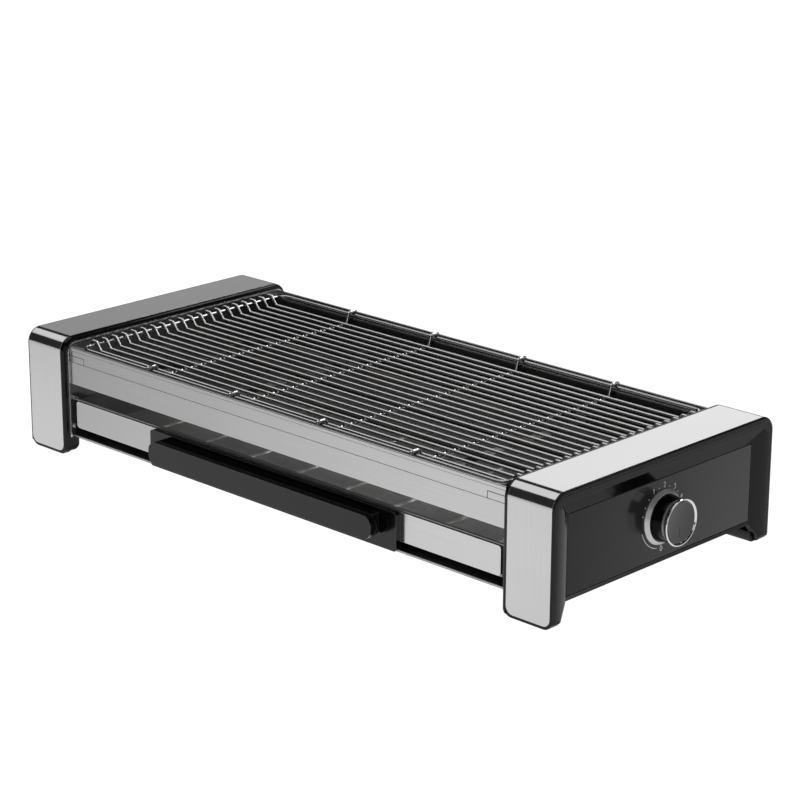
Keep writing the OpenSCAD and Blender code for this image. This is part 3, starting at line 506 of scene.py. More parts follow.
@dataclass(frozen=True)
class Moulding(Finish):
    """Moulded plastic or lacquer: fine grain, paler edges that are partly rubbing and partly painted
    highlight, painted light toward the rear where asked, and a little dust.

    Attributes:
        grain_scale: grain over a metre.
        grain_mm: depth of the grain.
        wear_and_highlight: how much of its edges is paler, partly from rubbing and partly as a painted
            highlight.
        wear_and_highlight_tone: how much paler those edges are.
        dust: how much dust lies on top.
        coat: weight of a clear gloss over it.
        coat_roughness: roughness of that gloss.
        under_fade: how far the gloss fades on undersides.
        under_band: shares of facing down between which it fades.
        shine: strength of its reflections.
        rear_painted_light: how much paler it is painted at the rear than at the front, as painted light.
        rear_painted_light_span: places along Y where that painted light starts and is full.
        blotches: blotches over a metre.
    """

    grain_scale: float = 2600.0
    grain_mm: float = 0.006
    wear_and_highlight: float = 0.25
    wear_and_highlight_tone: float = 0.3
    dust: float = 0.05
    coat: float = 0.0
    coat_roughness: float = 0.08
    under_fade: float = 0.0
    under_band: Span = (0.34, 0.6)
    shine: float = 0.5
    rear_painted_light: float = 0.0
    rear_painted_light_span: Span = (-0.1, 0.12)
    blotches: float = 32.0

    def paint(self, surface: Surface) -> None:
        """Feeds colour from rubbed and painted-highlight edges, painted light toward the rear and dust,
        roughness from blotches and relief from the grain.

        Args:
            surface: the material under construction.
        """
        surface.set("Coat Weight", self.coat)
        surface.set("Coat Roughness", self.coat_roughness)
        surface.set("Specular IOR Level", self.shine)
        if self.under_fade:
            down = surface.effect(surface.effects.facing)["Down"]
            faded = self.coat * (1.0 - self.under_fade)
            surface.set("Coat Weight", surface.spread(down, *self.under_band, self.coat, faded))
        cloud = surface.effect(surface.effects.mottle, Scale=self.blotches)
        edges = surface.effect(surface.effects.edges)["Mask"]
        dust = surface.effect(surface.effects.dust, Amount=self.dust)["Mask"]
        # Painted light: the colour is raised toward the rear.
        depth = surface.spread(surface.parts()[1], *self.rear_painted_light_span, 0.0, 1.0)
        plain = surface.blend(depth, self.colour, raised(self.colour, self.rear_painted_light))
        # Paler edges: partly rubbing, partly a painted highlight along the edges.
        worn_and_highlit = surface.blend(surface.calc("MULTIPLY", edges, self.wear_and_highlight), plain,
                             raised(self.colour, self.wear_and_highlight_tone))
        surface.set("Base Color", surface.blend(dust, worn_and_highlit, DUST_COLOUR))
        self.roughen(surface, cloud["Value"], (0.35, 0.65), (0.85, 1.15))
        surface.bump(surface.noise(surface.place, self.grain_scale, detail=2.0), self.grain_mm)


@dataclass(frozen=True)
class PlatedWire(Finish):
    """Bright plated wire with painted shade on its undersides.

    Attributes:
        painted_underside_shade: colour of the painted shade on the undersides.
        painted_underside_shade_share: how far the undersides are darkened.
        blotches: blotches over a metre.
        mark_mm: depth of the drawing marks.
    """

    painted_underside_shade: Colour = grey(0.05, 0.06)
    painted_underside_shade_share: float = 0.75
    blotches: float = 60.0
    mark_mm: float = 0.004

    def paint(self, surface: Surface) -> None:
        """Feeds colour, as painted shade on the undersides, and roughness from the facing and from blotches,
        and relief from drawing marks.

        Args:
            surface: the material under construction.
        """
        surface.set("Metallic", 1.0)
        cloud = surface.effect(surface.effects.mottle, Scale=self.blotches)
        down = surface.effect(surface.effects.facing)["Down"]
        uneven = surface.spread(cloud["Value"], *NOISE_SPAN, 0.7, 1.0)
        # Painted shade: the undersides are darkened and made rougher.
        painted_shade_mask = surface.calc("MULTIPLY", down, surface.calc("MULTIPLY", uneven, self.painted_underside_shade_share))
        surface.set("Base Color", surface.blend(painted_shade_mask, self.colour, self.painted_underside_shade))
        self.roughen(surface, painted_shade_mask, (0.0, 1.0), (1.0, 2.4))
        surface.bump(cloud["Grain"], self.mark_mm)


@dataclass(frozen=True)
class HeatedTube(Finish):
    """Oxidised tube with brown bands from its heat.

    Attributes:
        bloom: colour of the oxide's bloom.
        metallic: metallic share of the surface.
        bands: bands over a metre.
        blotches: blotches over a metre.
        grain_mm: depth of the grain.
    """

    bloom: Colour = (0.16, 0.11, 0.075, 1.0)
    metallic: float = 0.6
    bands: float = 16.0
    blotches: float = 45.0
    grain_mm: float = 0.02

    def paint(self, surface: Surface) -> None:
        """Feeds colour and roughness from soft bands and blotches.

        Args:
            surface: the material under construction.
        """
        surface.set("Metallic", self.metallic)
        cloud = surface.effect(surface.effects.mottle, Scale=self.blotches)
        noise = surface.noise(surface.place, self.bands, detail=2.0)
        bands = surface.spread(noise, 0.4, 0.62, 0.0, 1.0)
        bloomed = surface.calc("MULTIPLY", bands, cloud["Value"])
        surface.set("Base Color", surface.blend(bloomed, self.colour, self.bloom))
        self.roughen(surface, cloud["Grain"], NOISE_SPAN, (0.8, 1.25))
        surface.bump(cloud["Grain"], self.grain_mm)


@dataclass(frozen=True)
class WovenSleeve(Finish):
    """Braided glass sleeve: crossing waves as relief and as painted shade between the strands.

    Attributes:
        braid_mm: spacing of the braid.
        braid_depth_mm: depth of the braid.
        valley_shade_share: tone of the painted shade between the strands, as a share of the colour.
    """

    braid_mm: float = 0.7
    braid_depth_mm: float = 0.08
    valley_shade_share: float = 0.6

    def paint(self, surface: Surface) -> None:
        """Feeds colour and relief from the product of two crossing sine waves.

        Args:
            surface: the material under construction.
        """
        turn = 2 * math.pi / (self.braid_mm * MM)
        _, depth, height = surface.parts()
        ways = (surface.calc("ADD", depth, height), surface.calc("SUBTRACT", depth, height))
        waves = [surface.calc("SINE", surface.calc("MULTIPLY", way, turn)) for way in ways]
        braid = surface.spread(surface.calc("MULTIPLY", *waves), -1.0, 1.0, 0.0, 1.0)
        # Painted shade: the colour is darker between the strands.
        surface.set("Base Color", surface.blend(braid, scaled(self.colour, self.valley_shade_share), self.colour))
        surface.bump(braid, self.braid_depth_mm)


@dataclass(frozen=True)
class Print(Finish):
    """Printed mark with slightly broken ink.

    Attributes:
        thin_share: tone where the ink is thin, as a share of the colour.
        blotches: blotches over a metre.
    """

    thin_share: float = 0.75
    blotches: float = 700.0

    def paint(self, surface: Surface) -> None:
        """Feeds colour from a fine break-up of the ink.

        Args:
            surface: the material under construction.
        """
        cloud = surface.effect(surface.effects.mottle, Scale=self.blotches)
        thin = scaled(self.colour, self.thin_share)
        surface.set("Base Color", surface.blend(cloud["Value"], thin, self.colour))


class Finishes:
    """Every finish of the grill, by the part of it that wears it."""

    STRIP = BrushedSteel("brushed_strip", grey(0.58), 0.12, lay=Lay.ROUND_THE_HOUSING, across=2600.0,
                         contrast=0.04, depth_mm=0.001, uneven=0.3)
    FRONT = BrushedSteel("brushed_front", grey(0.6), 0.2, across=2600.0, contrast=0.04, depth_mm=0.001,
                         uneven=0.6, painted_end_shade=0.55, edge_mm=0.9)
    PANEL = BrushedSteel("brushed_panel", grey(0.56), 0.22, across=2400.0, contrast=0.04, depth_mm=0.001,
                         uneven=0.6, painted_end_shade=0.6, edge_mm=0.4)
    PLATE = BrushedSteel("end_plate_sheet", grey(0.6), 0.28, lay=Lay.ROUND_THE_HOUSING, across=900.0,
                         contrast=0.08)
    SHEET = DullSheet("plain_sheet", grey(0.42), 0.38, stain=grey(0.3, 0.04), stain_share=0.5)
    # Linings: a heat-tinted sheet whose colour is darkened further as painted shade inside the body.
    LINING = DullSheet("lining_sheet", grey(0.1), 0.42, stain=(0.1, 0.085, 0.07, 1.0), stain_share=0.7)
    TRAY = DullSheet("tray_sheet", grey(0.31), 0.38, stain=grey(0.24, 0.1), stain_share=0.3, metallic=0.6)
    STRAP = DullSheet("strap_sheet", grey(0.3), 0.4, stain=(0.16, 0.13, 0.1, 1.0), stain_share=0.6)
    SCREW = DullSheet("zinc_screw", grey(0.5), 0.3, stain=grey(0.36, -0.02), stain_share=0.5)
    DIAL = DullSheet("dial_silver", grey(0.6), 0.32, stain=grey(0.5), stain_share=0.3, metallic=0.55)
    BRASS = DullSheet("contact_brass", (0.62, 0.48, 0.22, 1.0), 0.3, stain=(0.42, 0.3, 0.14, 1.0),
                      stain_share=0.5)
    MOULDING = Moulding("black_moulding", grey(0.003), 0.12, wear_and_highlight=0.3, dust=0.002, grain_mm=0.001,
                        coat=0.36, coat_roughness=0.12, under_fade=1.0, shine=0.048)
    HANDLE = Moulding("black_handle", grey(0.003), 0.14, wear_and_highlight=0.45, dust=0.003, grain_mm=0.002, shine=0.36)
    DARK_PANEL = Moulding("dark_panel", grey(0.004, -0.03), 0.12, wear_and_highlight=0.3, dust=0.002, grain_mm=0.001,
                          shine=0.21, rear_painted_light=0.06)
    COVER = Moulding("black_cover", grey(0.02), 0.55, wear_and_highlight=0.2, dust=0.0, grain_mm=0.02)
    KNOB = Moulding("black_knob", grey(0.002), 0.14, wear_and_highlight=0.2, dust=0.002, grain_mm=0.001, shine=0.3)
    CAP = Moulding("dark_cap", grey(0.012, -0.02), 0.16, wear_and_highlight=1.0, dust=0.003, coat=0.1, grain_mm=0.001)
    INLET = Moulding("inlet_black", grey(0.015), 0.45, wear_and_highlight=0.2, dust=0.0)
    RUBBER = Moulding("foot_rubber", grey(0.02), 0.7, grain_scale=1500.0, grain_mm=0.03, wear_and_highlight=0.3, dust=0.0)
    CERAMIC = Moulding("white_ceramic", grey(0.62, 0.05), 0.5, grain_scale=1200.0, grain_mm=0.02, wear_and_highlight=0.0,
                       dust=0.1)
    CHROME = PlatedWire("knob_chrome", grey(0.75), 0.1, painted_underside_shade=grey(0.5), painted_underside_shade_share=0.2)
    WIRE = PlatedWire("plated_wire", grey(0.66), 0.09, painted_underside_shade_share=0.95)
    RIM = PlatedWire("bright_rim", grey(0.5), 0.12)
    TUBE = HeatedTube("heated_tube", grey(0.045, 0.03), 0.42)
    SLEEVE = WovenSleeve("lead_sleeve", grey(0.5, 0.08), 0.8)
    INK = Print("silver_print", grey(0.8), 0.35)


class Sweep:
    """Surfaces made by carrying a profile along a flat path."""

    @staticmethod
    def rounded(corners: np.ndarray, radius: float, steps: int, most: float = 0.49) -> np.ndarray:
        """Rounds the inner corners of a path.

        At each inner corner the path leaves its first straight at a distance
        of radius times the tangent of half the turn, and follows a quadratic
        blend of the two straights to the same distance on the second one.

        Args:
            corners: places of the corners, one a row.
            radius: radius of the bends.
            steps: straights in each bend.
            most: largest share of a straight that one bend takes.

        Returns:
            Places along the rounded path, one a row.
        """
        pieces = [corners[:1]]
        share = np.linspace(0.0, 1.0, steps + 1)[:, None]
        for before, corner, after in zip(corners[:-2], corners[1:-1], corners[2:]):
            back_length = np.linalg.norm(before - corner)
            on_length = np.linalg.norm(after - corner)
            back = (before - corner) / back_length
            on = (after - corner) / on_length
            turn = math.pi - math.acos(float(np.clip(back @ on, -1.0, 1.0)))
            room = min(radius * math.tan(turn / 2), most * back_length, most * on_length)
            pieces.append(corner + room * (back * (1 - share) ** 2 + on * share**2))
        return np.concatenate([*pieces, corners[-1:]])

    @staticmethod
    def circle(radius: float, sides: int) -> np.ndarray:
        """Returns a round profile: the cosine and sine of equal turns times the radius."""
        turns = np.arange(sides) * 2 * math.pi / sides
        return radius * np.stack([np.cos(turns), np.sin(turns)], axis=1)

    @staticmethod
    def ribbon(width: float, height: float) -> np.ndarray:
        """Returns a rectangular profile that stands on the path's plane."""
        half = width / 2
        return np.array([[-half, 0.0], [half, 0.0], [half, height], [-half, height]])

    @staticmethod
    def along(path: np.ndarray, profile: np.ndarray, up: np.ndarray) -> Shell:
        """Carries a profile along an open path that lies square to one direction.

        Each ring is the path's place, plus the profile's first part times the
        side, plus its second part times up. The side is up crossed with the
        mean of the two unit directions that meet there, stretched by the
        inverse cosine of half the turn so that the wall keeps its width.

        Args:
            path: places along the path, one a row.
            profile: closed profile, one corner a row.
            up: unit direction square to the path's plane.

        Returns:
            The vertices, and the faces as lists of vertex numbers.
        """
        straight = np.diff(path, axis=0)
        straight /= np.linalg.norm(straight, axis=1, keepdims=True)
        ahead = np.concatenate([straight, straight[-1:]])
        behind = np.concatenate([straight[:1], straight])
        mean = ahead + behind
        mean /= np.linalg.norm(mean, axis=1, keepdims=True)
        side = np.cross(up, mean) / np.sum(mean * ahead, axis=1, keepdims=True)
        rings = path[:, None, :] + profile[None, :, :1] * side[:, None, :] + profile[None, :, 1:] * up
        count, sides = len(path), len(profile)
        first = np.arange(count - 1)[:, None] * sides
        near = np.arange(sides)
        far = (near + 1) % sides
        quads = np.stack([first + near, first + far, first + sides + far, first + sides + near], axis=-1)
        caps = [near.tolist(), ((count - 1) * sides + near[::-1]).tolist()]
        return rings.reshape(-1, 3), quads.reshape(-1, 4)[:, ::-1].tolist() + caps

    @staticmethod
    def joined(shells: list[Shell]) -> Shell:
        """Puts several shells into one, with their vertices numbered on.

        Args:
            shells: the shells.

        Returns:
            The vertices and faces of all of them.
        """
        starts = np.cumsum([0] + [len(points) for points, _ in shells[:-1]])
        faces = [[int(start) + number for number in face] for start, (_, listed) in zip(starts, shells)
                 for face in listed]
        return np.concatenate([points for points, _ in shells]), faces

    @staticmethod
    def repeated(shell: Shell, offsets: np.ndarray) -> Shell:
        """Copies a shell to each of several offsets."""
        return Sweep.joined([(shell[0] + offset, shell[1]) for offset in offsets])

    @staticmethod
    def bead(radii: Point, rings: int, sides: int) -> Shell:
        """Makes a closed ellipsoid: latitude and longitude on a grid, scaled by the three radii.

        Args:
            radii: radii along X, Y and Z.
            rings: bands from pole to pole.
            sides: faces round it.

        Returns:
            The vertices, and the faces as lists of vertex numbers.
        """
        tilt = np.linspace(0.0, math.pi, rings + 1)[1:-1, None]
        turn = np.arange(sides)[None, :] * 2 * math.pi / sides
        ball = np.stack([np.sin(tilt) * np.cos(turn), np.sin(tilt) * np.sin(turn),
                         np.cos(tilt) * np.ones_like(turn)], axis=-1).reshape(-1, 3)
        points = np.concatenate([ball, [UP, -UP]]) * np.array(radii)
        near = np.arange(sides)
        far = (near + 1) % sides
        step = np.arange(rings - 2)[:, None] * sides
        quads = np.stack([step + near, step + sides + near, step + sides + far, step + far], axis=-1)
        top, bottom, last = len(ball), len(ball) + 1, (rings - 2) * sides
        caps = np.stack([np.full(sides, top), near, far], axis=1).tolist()
        caps += np.stack([np.full(sides, bottom), last + far, last + near], axis=1).tolist()
        return points, quads.reshape(-1, 4).tolist() + caps


@dataclass
class Assembly(ABC):
    """Sub-assembly of the grill that dresses its solids and adds its pieces.

    Attributes:
        effects: the shared node groups.
        weld_mm: distance under which a solid's loose corners are joined.
        soft_angle_deg: smallest turn between two faces that is softened.
        crease_deg: smallest turn between two faces that stays a crease on a new piece.
    """

    effects: Effects
    weld_mm: float = field(default=0.002, kw_only=True)
    soft_angle_deg: float = field(default=28.0, kw_only=True)
    crease_deg: float = field(default=40.0, kw_only=True)

    @abstractmethod
    def build(self) -> None:
        """Dresses and makes everything in this sub-assembly."""

    def dress(self, finish: Finish, *nodes: str, bevel_mm: float = 0.0, segments: int = 3) -> None:
        """Gives solids of the frame a finish and, if asked, soft edges.

        Args:
            finish: the finish they wear.
            *nodes: names of the solids.
            bevel_mm: width of the soft edges, or none at 0.
            segments: faces across a soft edge.
        """
        for name in nodes:
            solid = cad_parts[name]
            solid.data.materials.clear()
            solid.data.materials.append(finish.material(self.effects))
            if bevel_mm:
                self.soften(solid, bevel_mm, segments)
            log.info("dressed %s in %s", name, finish.name)

    def soften(self, solid: bpy.types.Object, bevel_mm: float, segments: int) -> None:
        """Joins a solid's loose triangles and rounds its edges by modifiers.

        Args:
            solid: the solid.
            bevel_mm: width of the soft edges.
            segments: faces across a soft edge.
        """
        normals = solid.data.attributes.get("custom_normal")
        if normals is not None:
            solid.data.attributes.remove(normals)
        solid.data.polygons.foreach_set("use_smooth", np.ones(len(solid.data.polygons), dtype=bool))
        weld = solid.modifiers.new("joined", "WELD")
        weld.merge_threshold = self.weld_mm * MM
        bevel = solid.modifiers.new("soft_edges", "BEVEL")
        bevel.width = bevel_mm * MM
        bevel.segments = segments
        bevel.limit_method = "ANGLE"
        bevel.angle_limit = math.radians(self.soft_angle_deg)
        bevel.harden_normals = True
        bevel.miter_outer = "MITER_ARC"

    def piece(self, name: str, shell: Shell, finish: Finish, body: Body, slot: str,
              smooth: bool = True) -> bpy.types.Object:
        """Makes a new piece of a shell and lets it ride on a body.

        Args:
            name: name of the piece.
            shell: vertices and faces.
            finish: the finish it wears.
            body: the body that it rides on.
            slot: the record's material slot that it belongs to; not used.
            smooth: whether its faces are shaded smooth.

        Returns:
            The new object.
        """
        points, faces = shell
        mesh = bpy.data.meshes.new(name)
        mesh.from_pydata(points, [], faces)
        mesh.polygons.foreach_set("use_smooth", np.full(len(mesh.polygons), smooth))
        mesh.set_sharp_from_angle(angle=math.radians(self.crease_deg))
        mesh.materials.append(finish.material(self.effects))
        made = bpy.data.objects.new(name, mesh)
        bpy.context.scene.collection.objects.link(made)
        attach(made, body.value)
        log.info("made %s with %d faces", name, len(faces))
        return made


@dataclass
class EndHousings(Assembly):
    """Two black end housings with their steel strips, panels, covers and feet.

    Attributes:
        frame_edge_mm: soft edge of the moulded housings.
        strip_edge_mm: soft edge of the steel strips.
        panel_edge_mm: soft edge of the end panels.
        cover_edge_mm: soft edge of the bottom covers and of the inlet.
        foot_edge_mm: soft edge of the feet.
        plate_edge_mm: soft edge of the end plates.
        metal_edge_mm: soft edge of the inlet's pins and of the screws.
    """

    frame_edge_mm: float = 0.35
    strip_edge_mm: float = 0.25
    panel_edge_mm: float = 0.3
    cover_edge_mm: float = 0.4
    foot_edge_mm: float = 0.5
    plate_edge_mm: float = 0.2
    metal_edge_mm: float = 0.3

    def build(self) -> None:
        """Dresses the housings."""
        self.dress(Finishes.MOULDING, "left_end_frame", "right_end_frame", bevel_mm=self.frame_edge_mm)
        self.dress(Finishes.STRIP, "left_strip", "right_strip", bevel_mm=self.strip_edge_mm)
        self.dress(Finishes.DARK_PANEL, "left_end_panel", "control_panel", bevel_mm=self.panel_edge_mm)
        self.dress(Finishes.COVER, "left_bottom_cover", "right_bottom_cover", bevel_mm=self.cover_edge_mm)
        self.dress(Finishes.RUBBER, "rubber_feet", bevel_mm=self.foot_edge_mm)
        self.dress(Finishes.PLATE, "left_end_plate", "right_end_plate", bevel_mm=self.plate_edge_mm)
        self.dress(Finishes.INLET, "power_inlet", bevel_mm=self.cover_edge_mm)
        self.dress(Finishes.BRASS, "inlet_pins", bevel_mm=self.metal_edge_mm)
        self.dress(Finishes.SCREW, "cover_screws", "frame_screws", bevel_mm=self.metal_edge_mm)


@dataclass
class SheetBody(Assembly):
    """Panels, base, linings and runners between the housings.

    Attributes:
        edge_mm: soft edge of the sheets.
    """

    edge_mm: float = 0.2

    def build(self) -> None:
        """Dresses the sheet-metal body."""
        self.dress(Finishes.PANEL, "front_panel", "rear_panel", bevel_mm=self.edge_mm)
        self.dress(Finishes.SHEET, "base_plate", "left_runner", "right_runner", bevel_mm=self.edge_mm)
        self.dress(Finishes.LINING, "front_reflector", "rear_reflector", bevel_mm=self.edge_mm)


@dataclass
class Heater(Assembly):
    """Heating element with what holds and feeds it.

    Attributes:
        strap_edge_mm: soft edge of the straps under the element.
        ceramic_edge_mm: soft edge of the sleeves, the thermostat, the cut-out and the terminal block.
        metal_edge_mm: soft edge of the thermostat's nut and shaft.
    """

    strap_edge_mm: float = 0.15
    ceramic_edge_mm: float = 0.4
    metal_edge_mm: float = 0.2

    def build(self) -> None:
        """Dresses the heater and the electrical pieces."""
        self.dress(Finishes.TUBE, "heating_element")
        self.dress(Finishes.STRAP, "element_brackets", bevel_mm=self.strap_edge_mm)
        self.dress(Finishes.CERAMIC, "element_bushings", "thermostat", "thermal_cutout", "terminal_block",
                   bevel_mm=self.ceramic_edge_mm)
        self.dress(Finishes.SLEEVE, "inner_leads")
        self.dress(Finishes.SCREW, "thermostat_nut", "thermostat_shaft", bevel_mm=self.metal_edge_mm)


# Stroke of each numeral, as shares of its height from its middle
NUMERALS = {
    "0": [(0.0, 0.5), (-0.24, 0.38), (-0.3, 0.0), (-0.24, -0.38), (0.0, -0.5), (0.24, -0.38), (0.3, 0.0),
          (0.24, 0.38), (0.0, 0.5)],
    "1": [(-0.18, 0.3), (0.05, 0.5), (0.05, -0.5)],
    "2": [(-0.28, 0.26), (-0.2, 0.44), (0.0, 0.5), (0.22, 0.42), (0.28, 0.22), (0.2, 0.02), (-0.3, -0.5),
          (0.32, -0.5)],
    "3": [(-0.28, 0.34), (-0.12, 0.48), (0.1, 0.48), (0.26, 0.34), (0.24, 0.12), (0.04, 0.02),
          (0.26, -0.08), (0.3, -0.3), (0.12, -0.48), (-0.12, -0.48), (-0.3, -0.34)],
    "4": [(0.14, -0.5), (0.14, 0.5), (-0.32, -0.18), (0.34, -0.18)],
}


@dataclass
class Control(Assembly):
    """Knob on the control end, with the dial's printed marks round it.

    Attributes:
        ring_edge_mm: soft edge of the dial ring and of the knob's ring and cap.
        knob_edge_mm: soft edge of the knob.
        numeral_r: distance of the numerals from the knob's axis.
        numeral_h: height of the numerals.
        numeral_bend: radius of the bends in them.
        dot_r: distance of the dots.
        arc_r: distance of the arc.
        stroke: width of a printed stroke.
        ink: thickness of the print.
        scale: numerals of the scale, in order.
        first_deg: turn of the first of them, clockwise from the top.
        step_deg: turn from one to the next, with a dot half way.
        low_dots_deg: turns of the dots before the first numeral.
        low_arc_deg: turns from which and to which the arc goes.
        off_deg: turn of the 0.
        axis: place where the knob's axis meets the panel, set by build.
    """

    ring_edge_mm: float = 0.15
    knob_edge_mm: float = 0.3
    numeral_r: float = 24.6 * MM
    numeral_h: float = 3.9 * MM
    numeral_bend: float = 0.78 * MM
    dot_r: float = 23.2 * MM
    arc_r: float = 24.0 * MM
    stroke: float = 0.55 * MM
    ink: float = 0.05 * MM
    scale: str = "1234"
    first_deg: float = -26.0
    step_deg: float = 30.0
    low_dots_deg: Point = (-43.0, -60.0, -76.0)
    low_arc_deg: Span = (-168.0, -109.0)
    off_deg: float = 180.0
    axis: np.ndarray = field(init=False)

    def build(self) -> None:
        """Dresses the control and prints the dial."""
        self.dress(Finishes.DIAL, "dial_ring", bevel_mm=self.ring_edge_mm)
        self.dress(Finishes.KNOB, "knob_body", bevel_mm=self.knob_edge_mm)
        self.dress(Finishes.CHROME, "knob_ring", bevel_mm=self.ring_edge_mm)
        self.dress(Finishes.CAP, "knob_cap", bevel_mm=self.ring_edge_mm)
        low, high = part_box("dial_ring")
        self.axis = np.array([low.x, (low.y + high.y) / 2, (low.z + high.z) / 2])
        turns = [self.first_deg + self.step_deg * number for number in range(len(self.scale))]
        between = [turn + self.step_deg / 2 for turn in turns[:-1]]
        marks = [self.glyph(sign, turn) for sign, turn in zip(self.scale, turns)]
        marks.append(self.glyph("0", self.off_deg))
        marks += [self.dot(turn) for turn in (*between, *self.low_dots_deg)]
        marks.append(self.arc(*self.low_arc_deg))
        self.piece("dial_print", Sweep.joined(marks), Finishes.INK, Body.GRILL, "dark_panel", smooth=False)

    def spot(self, turn_deg: float, distance: float) -> np.ndarray:
        """Returns a place on the panel, clockwise from the top as seen from the control end."""
        turn = math.radians(turn_deg)
        return self.axis + distance * (math.sin(turn) * TO_REAR + math.cos(turn) * UP)

    def glyph(self, sign: str, turn_deg: float, steps: int = 3) -> Shell:
        """Makes one upright numeral: a ribbon along its stroke.

        Args:
            sign: the numeral.
            turn_deg: its turn round the knob.
            steps: straights in each bend.

        Returns:
            The vertices and faces.
        """
        flat = np.array(NUMERALS[sign]) * self.numeral_h
        path = self.spot(turn_deg, self.numeral_r) + flat[:, :1] * TO_REAR + flat[:, 1:] * UP
        smooth = Sweep.rounded(path, self.numeral_bend, steps)
        return Sweep.along(smooth, Sweep.ribbon(self.stroke, self.ink), TO_CONTROL)

    def dot(self, turn_deg: float, rings: int = 6, sides: int = 10) -> Shell:
        """Makes one dot: a flat bead on the panel.

        Args:
            turn_deg: its turn round the knob.
            rings: bands from pole to pole.
            sides: faces round it.

        Returns:
            The vertices and faces.
        """
        points, faces = Sweep.bead((self.ink, self.stroke, self.stroke), rings, sides)
        return points + self.spot(turn_deg, self.dot_r), faces

    def arc(self, from_deg: float, to_deg: float, steps: int = 24) -> Shell:
        """Makes the arc: a ribbon along the sine and cosine of equal steps of its turn.

        Args:
            from_deg: turn at which it starts.
            to_deg: turn at which it ends.
            steps: straights in it.

        Returns:
            The vertices and faces.
        """
        turns = np.radians(np.linspace(from_deg, to_deg, steps + 1))[:, None]
        path = self.axis + self.arc_r * (np.sin(turns) * TO_REAR + np.cos(turns) * UP)
        return Sweep.along(path, Sweep.ribbon(self.stroke, self.ink), TO_CONTROL)


@dataclass
class Drawer(Assembly):
    """Drip drawer with its steel front and black handle.

    Attributes:
        tray_edge_mm: soft edge of the tray.
        front_edge_mm: rounded edge of the steel front.
        front_faces: faces across that edge.
        plate_edge_mm: soft edge of the handle's back plate.
        grip_edge_mm: soft edge of the grip.
        grip_faces: faces across that edge.
        screw_edge_mm: soft edge of the screws.
    """

    tray_edge_mm: float = 0.25
    front_edge_mm: float = 1.2
    front_faces: int = 5
    plate_edge_mm: float = 0.8
    grip_edge_mm: float = 1.0
    grip_faces: int = 4
    screw_edge_mm: float = 0.3

    def build(self) -> None:
        """Dresses the drawer."""
        self.dress(Finishes.TRAY, "drawer_tray", bevel_mm=self.tray_edge_mm)
        self.dress(Finishes.FRONT, "drawer_front", bevel_mm=self.front_edge_mm, segments=self.front_faces)
        self.dress(Finishes.HANDLE, "handle_plate", bevel_mm=self.plate_edge_mm)
        self.dress(Finishes.HANDLE, "handle_grip", bevel_mm=self.grip_edge_mm, segments=self.grip_faces)
        self.dress(Finishes.SCREW, "handle_screws", bevel_mm=self.screw_edge_mm)


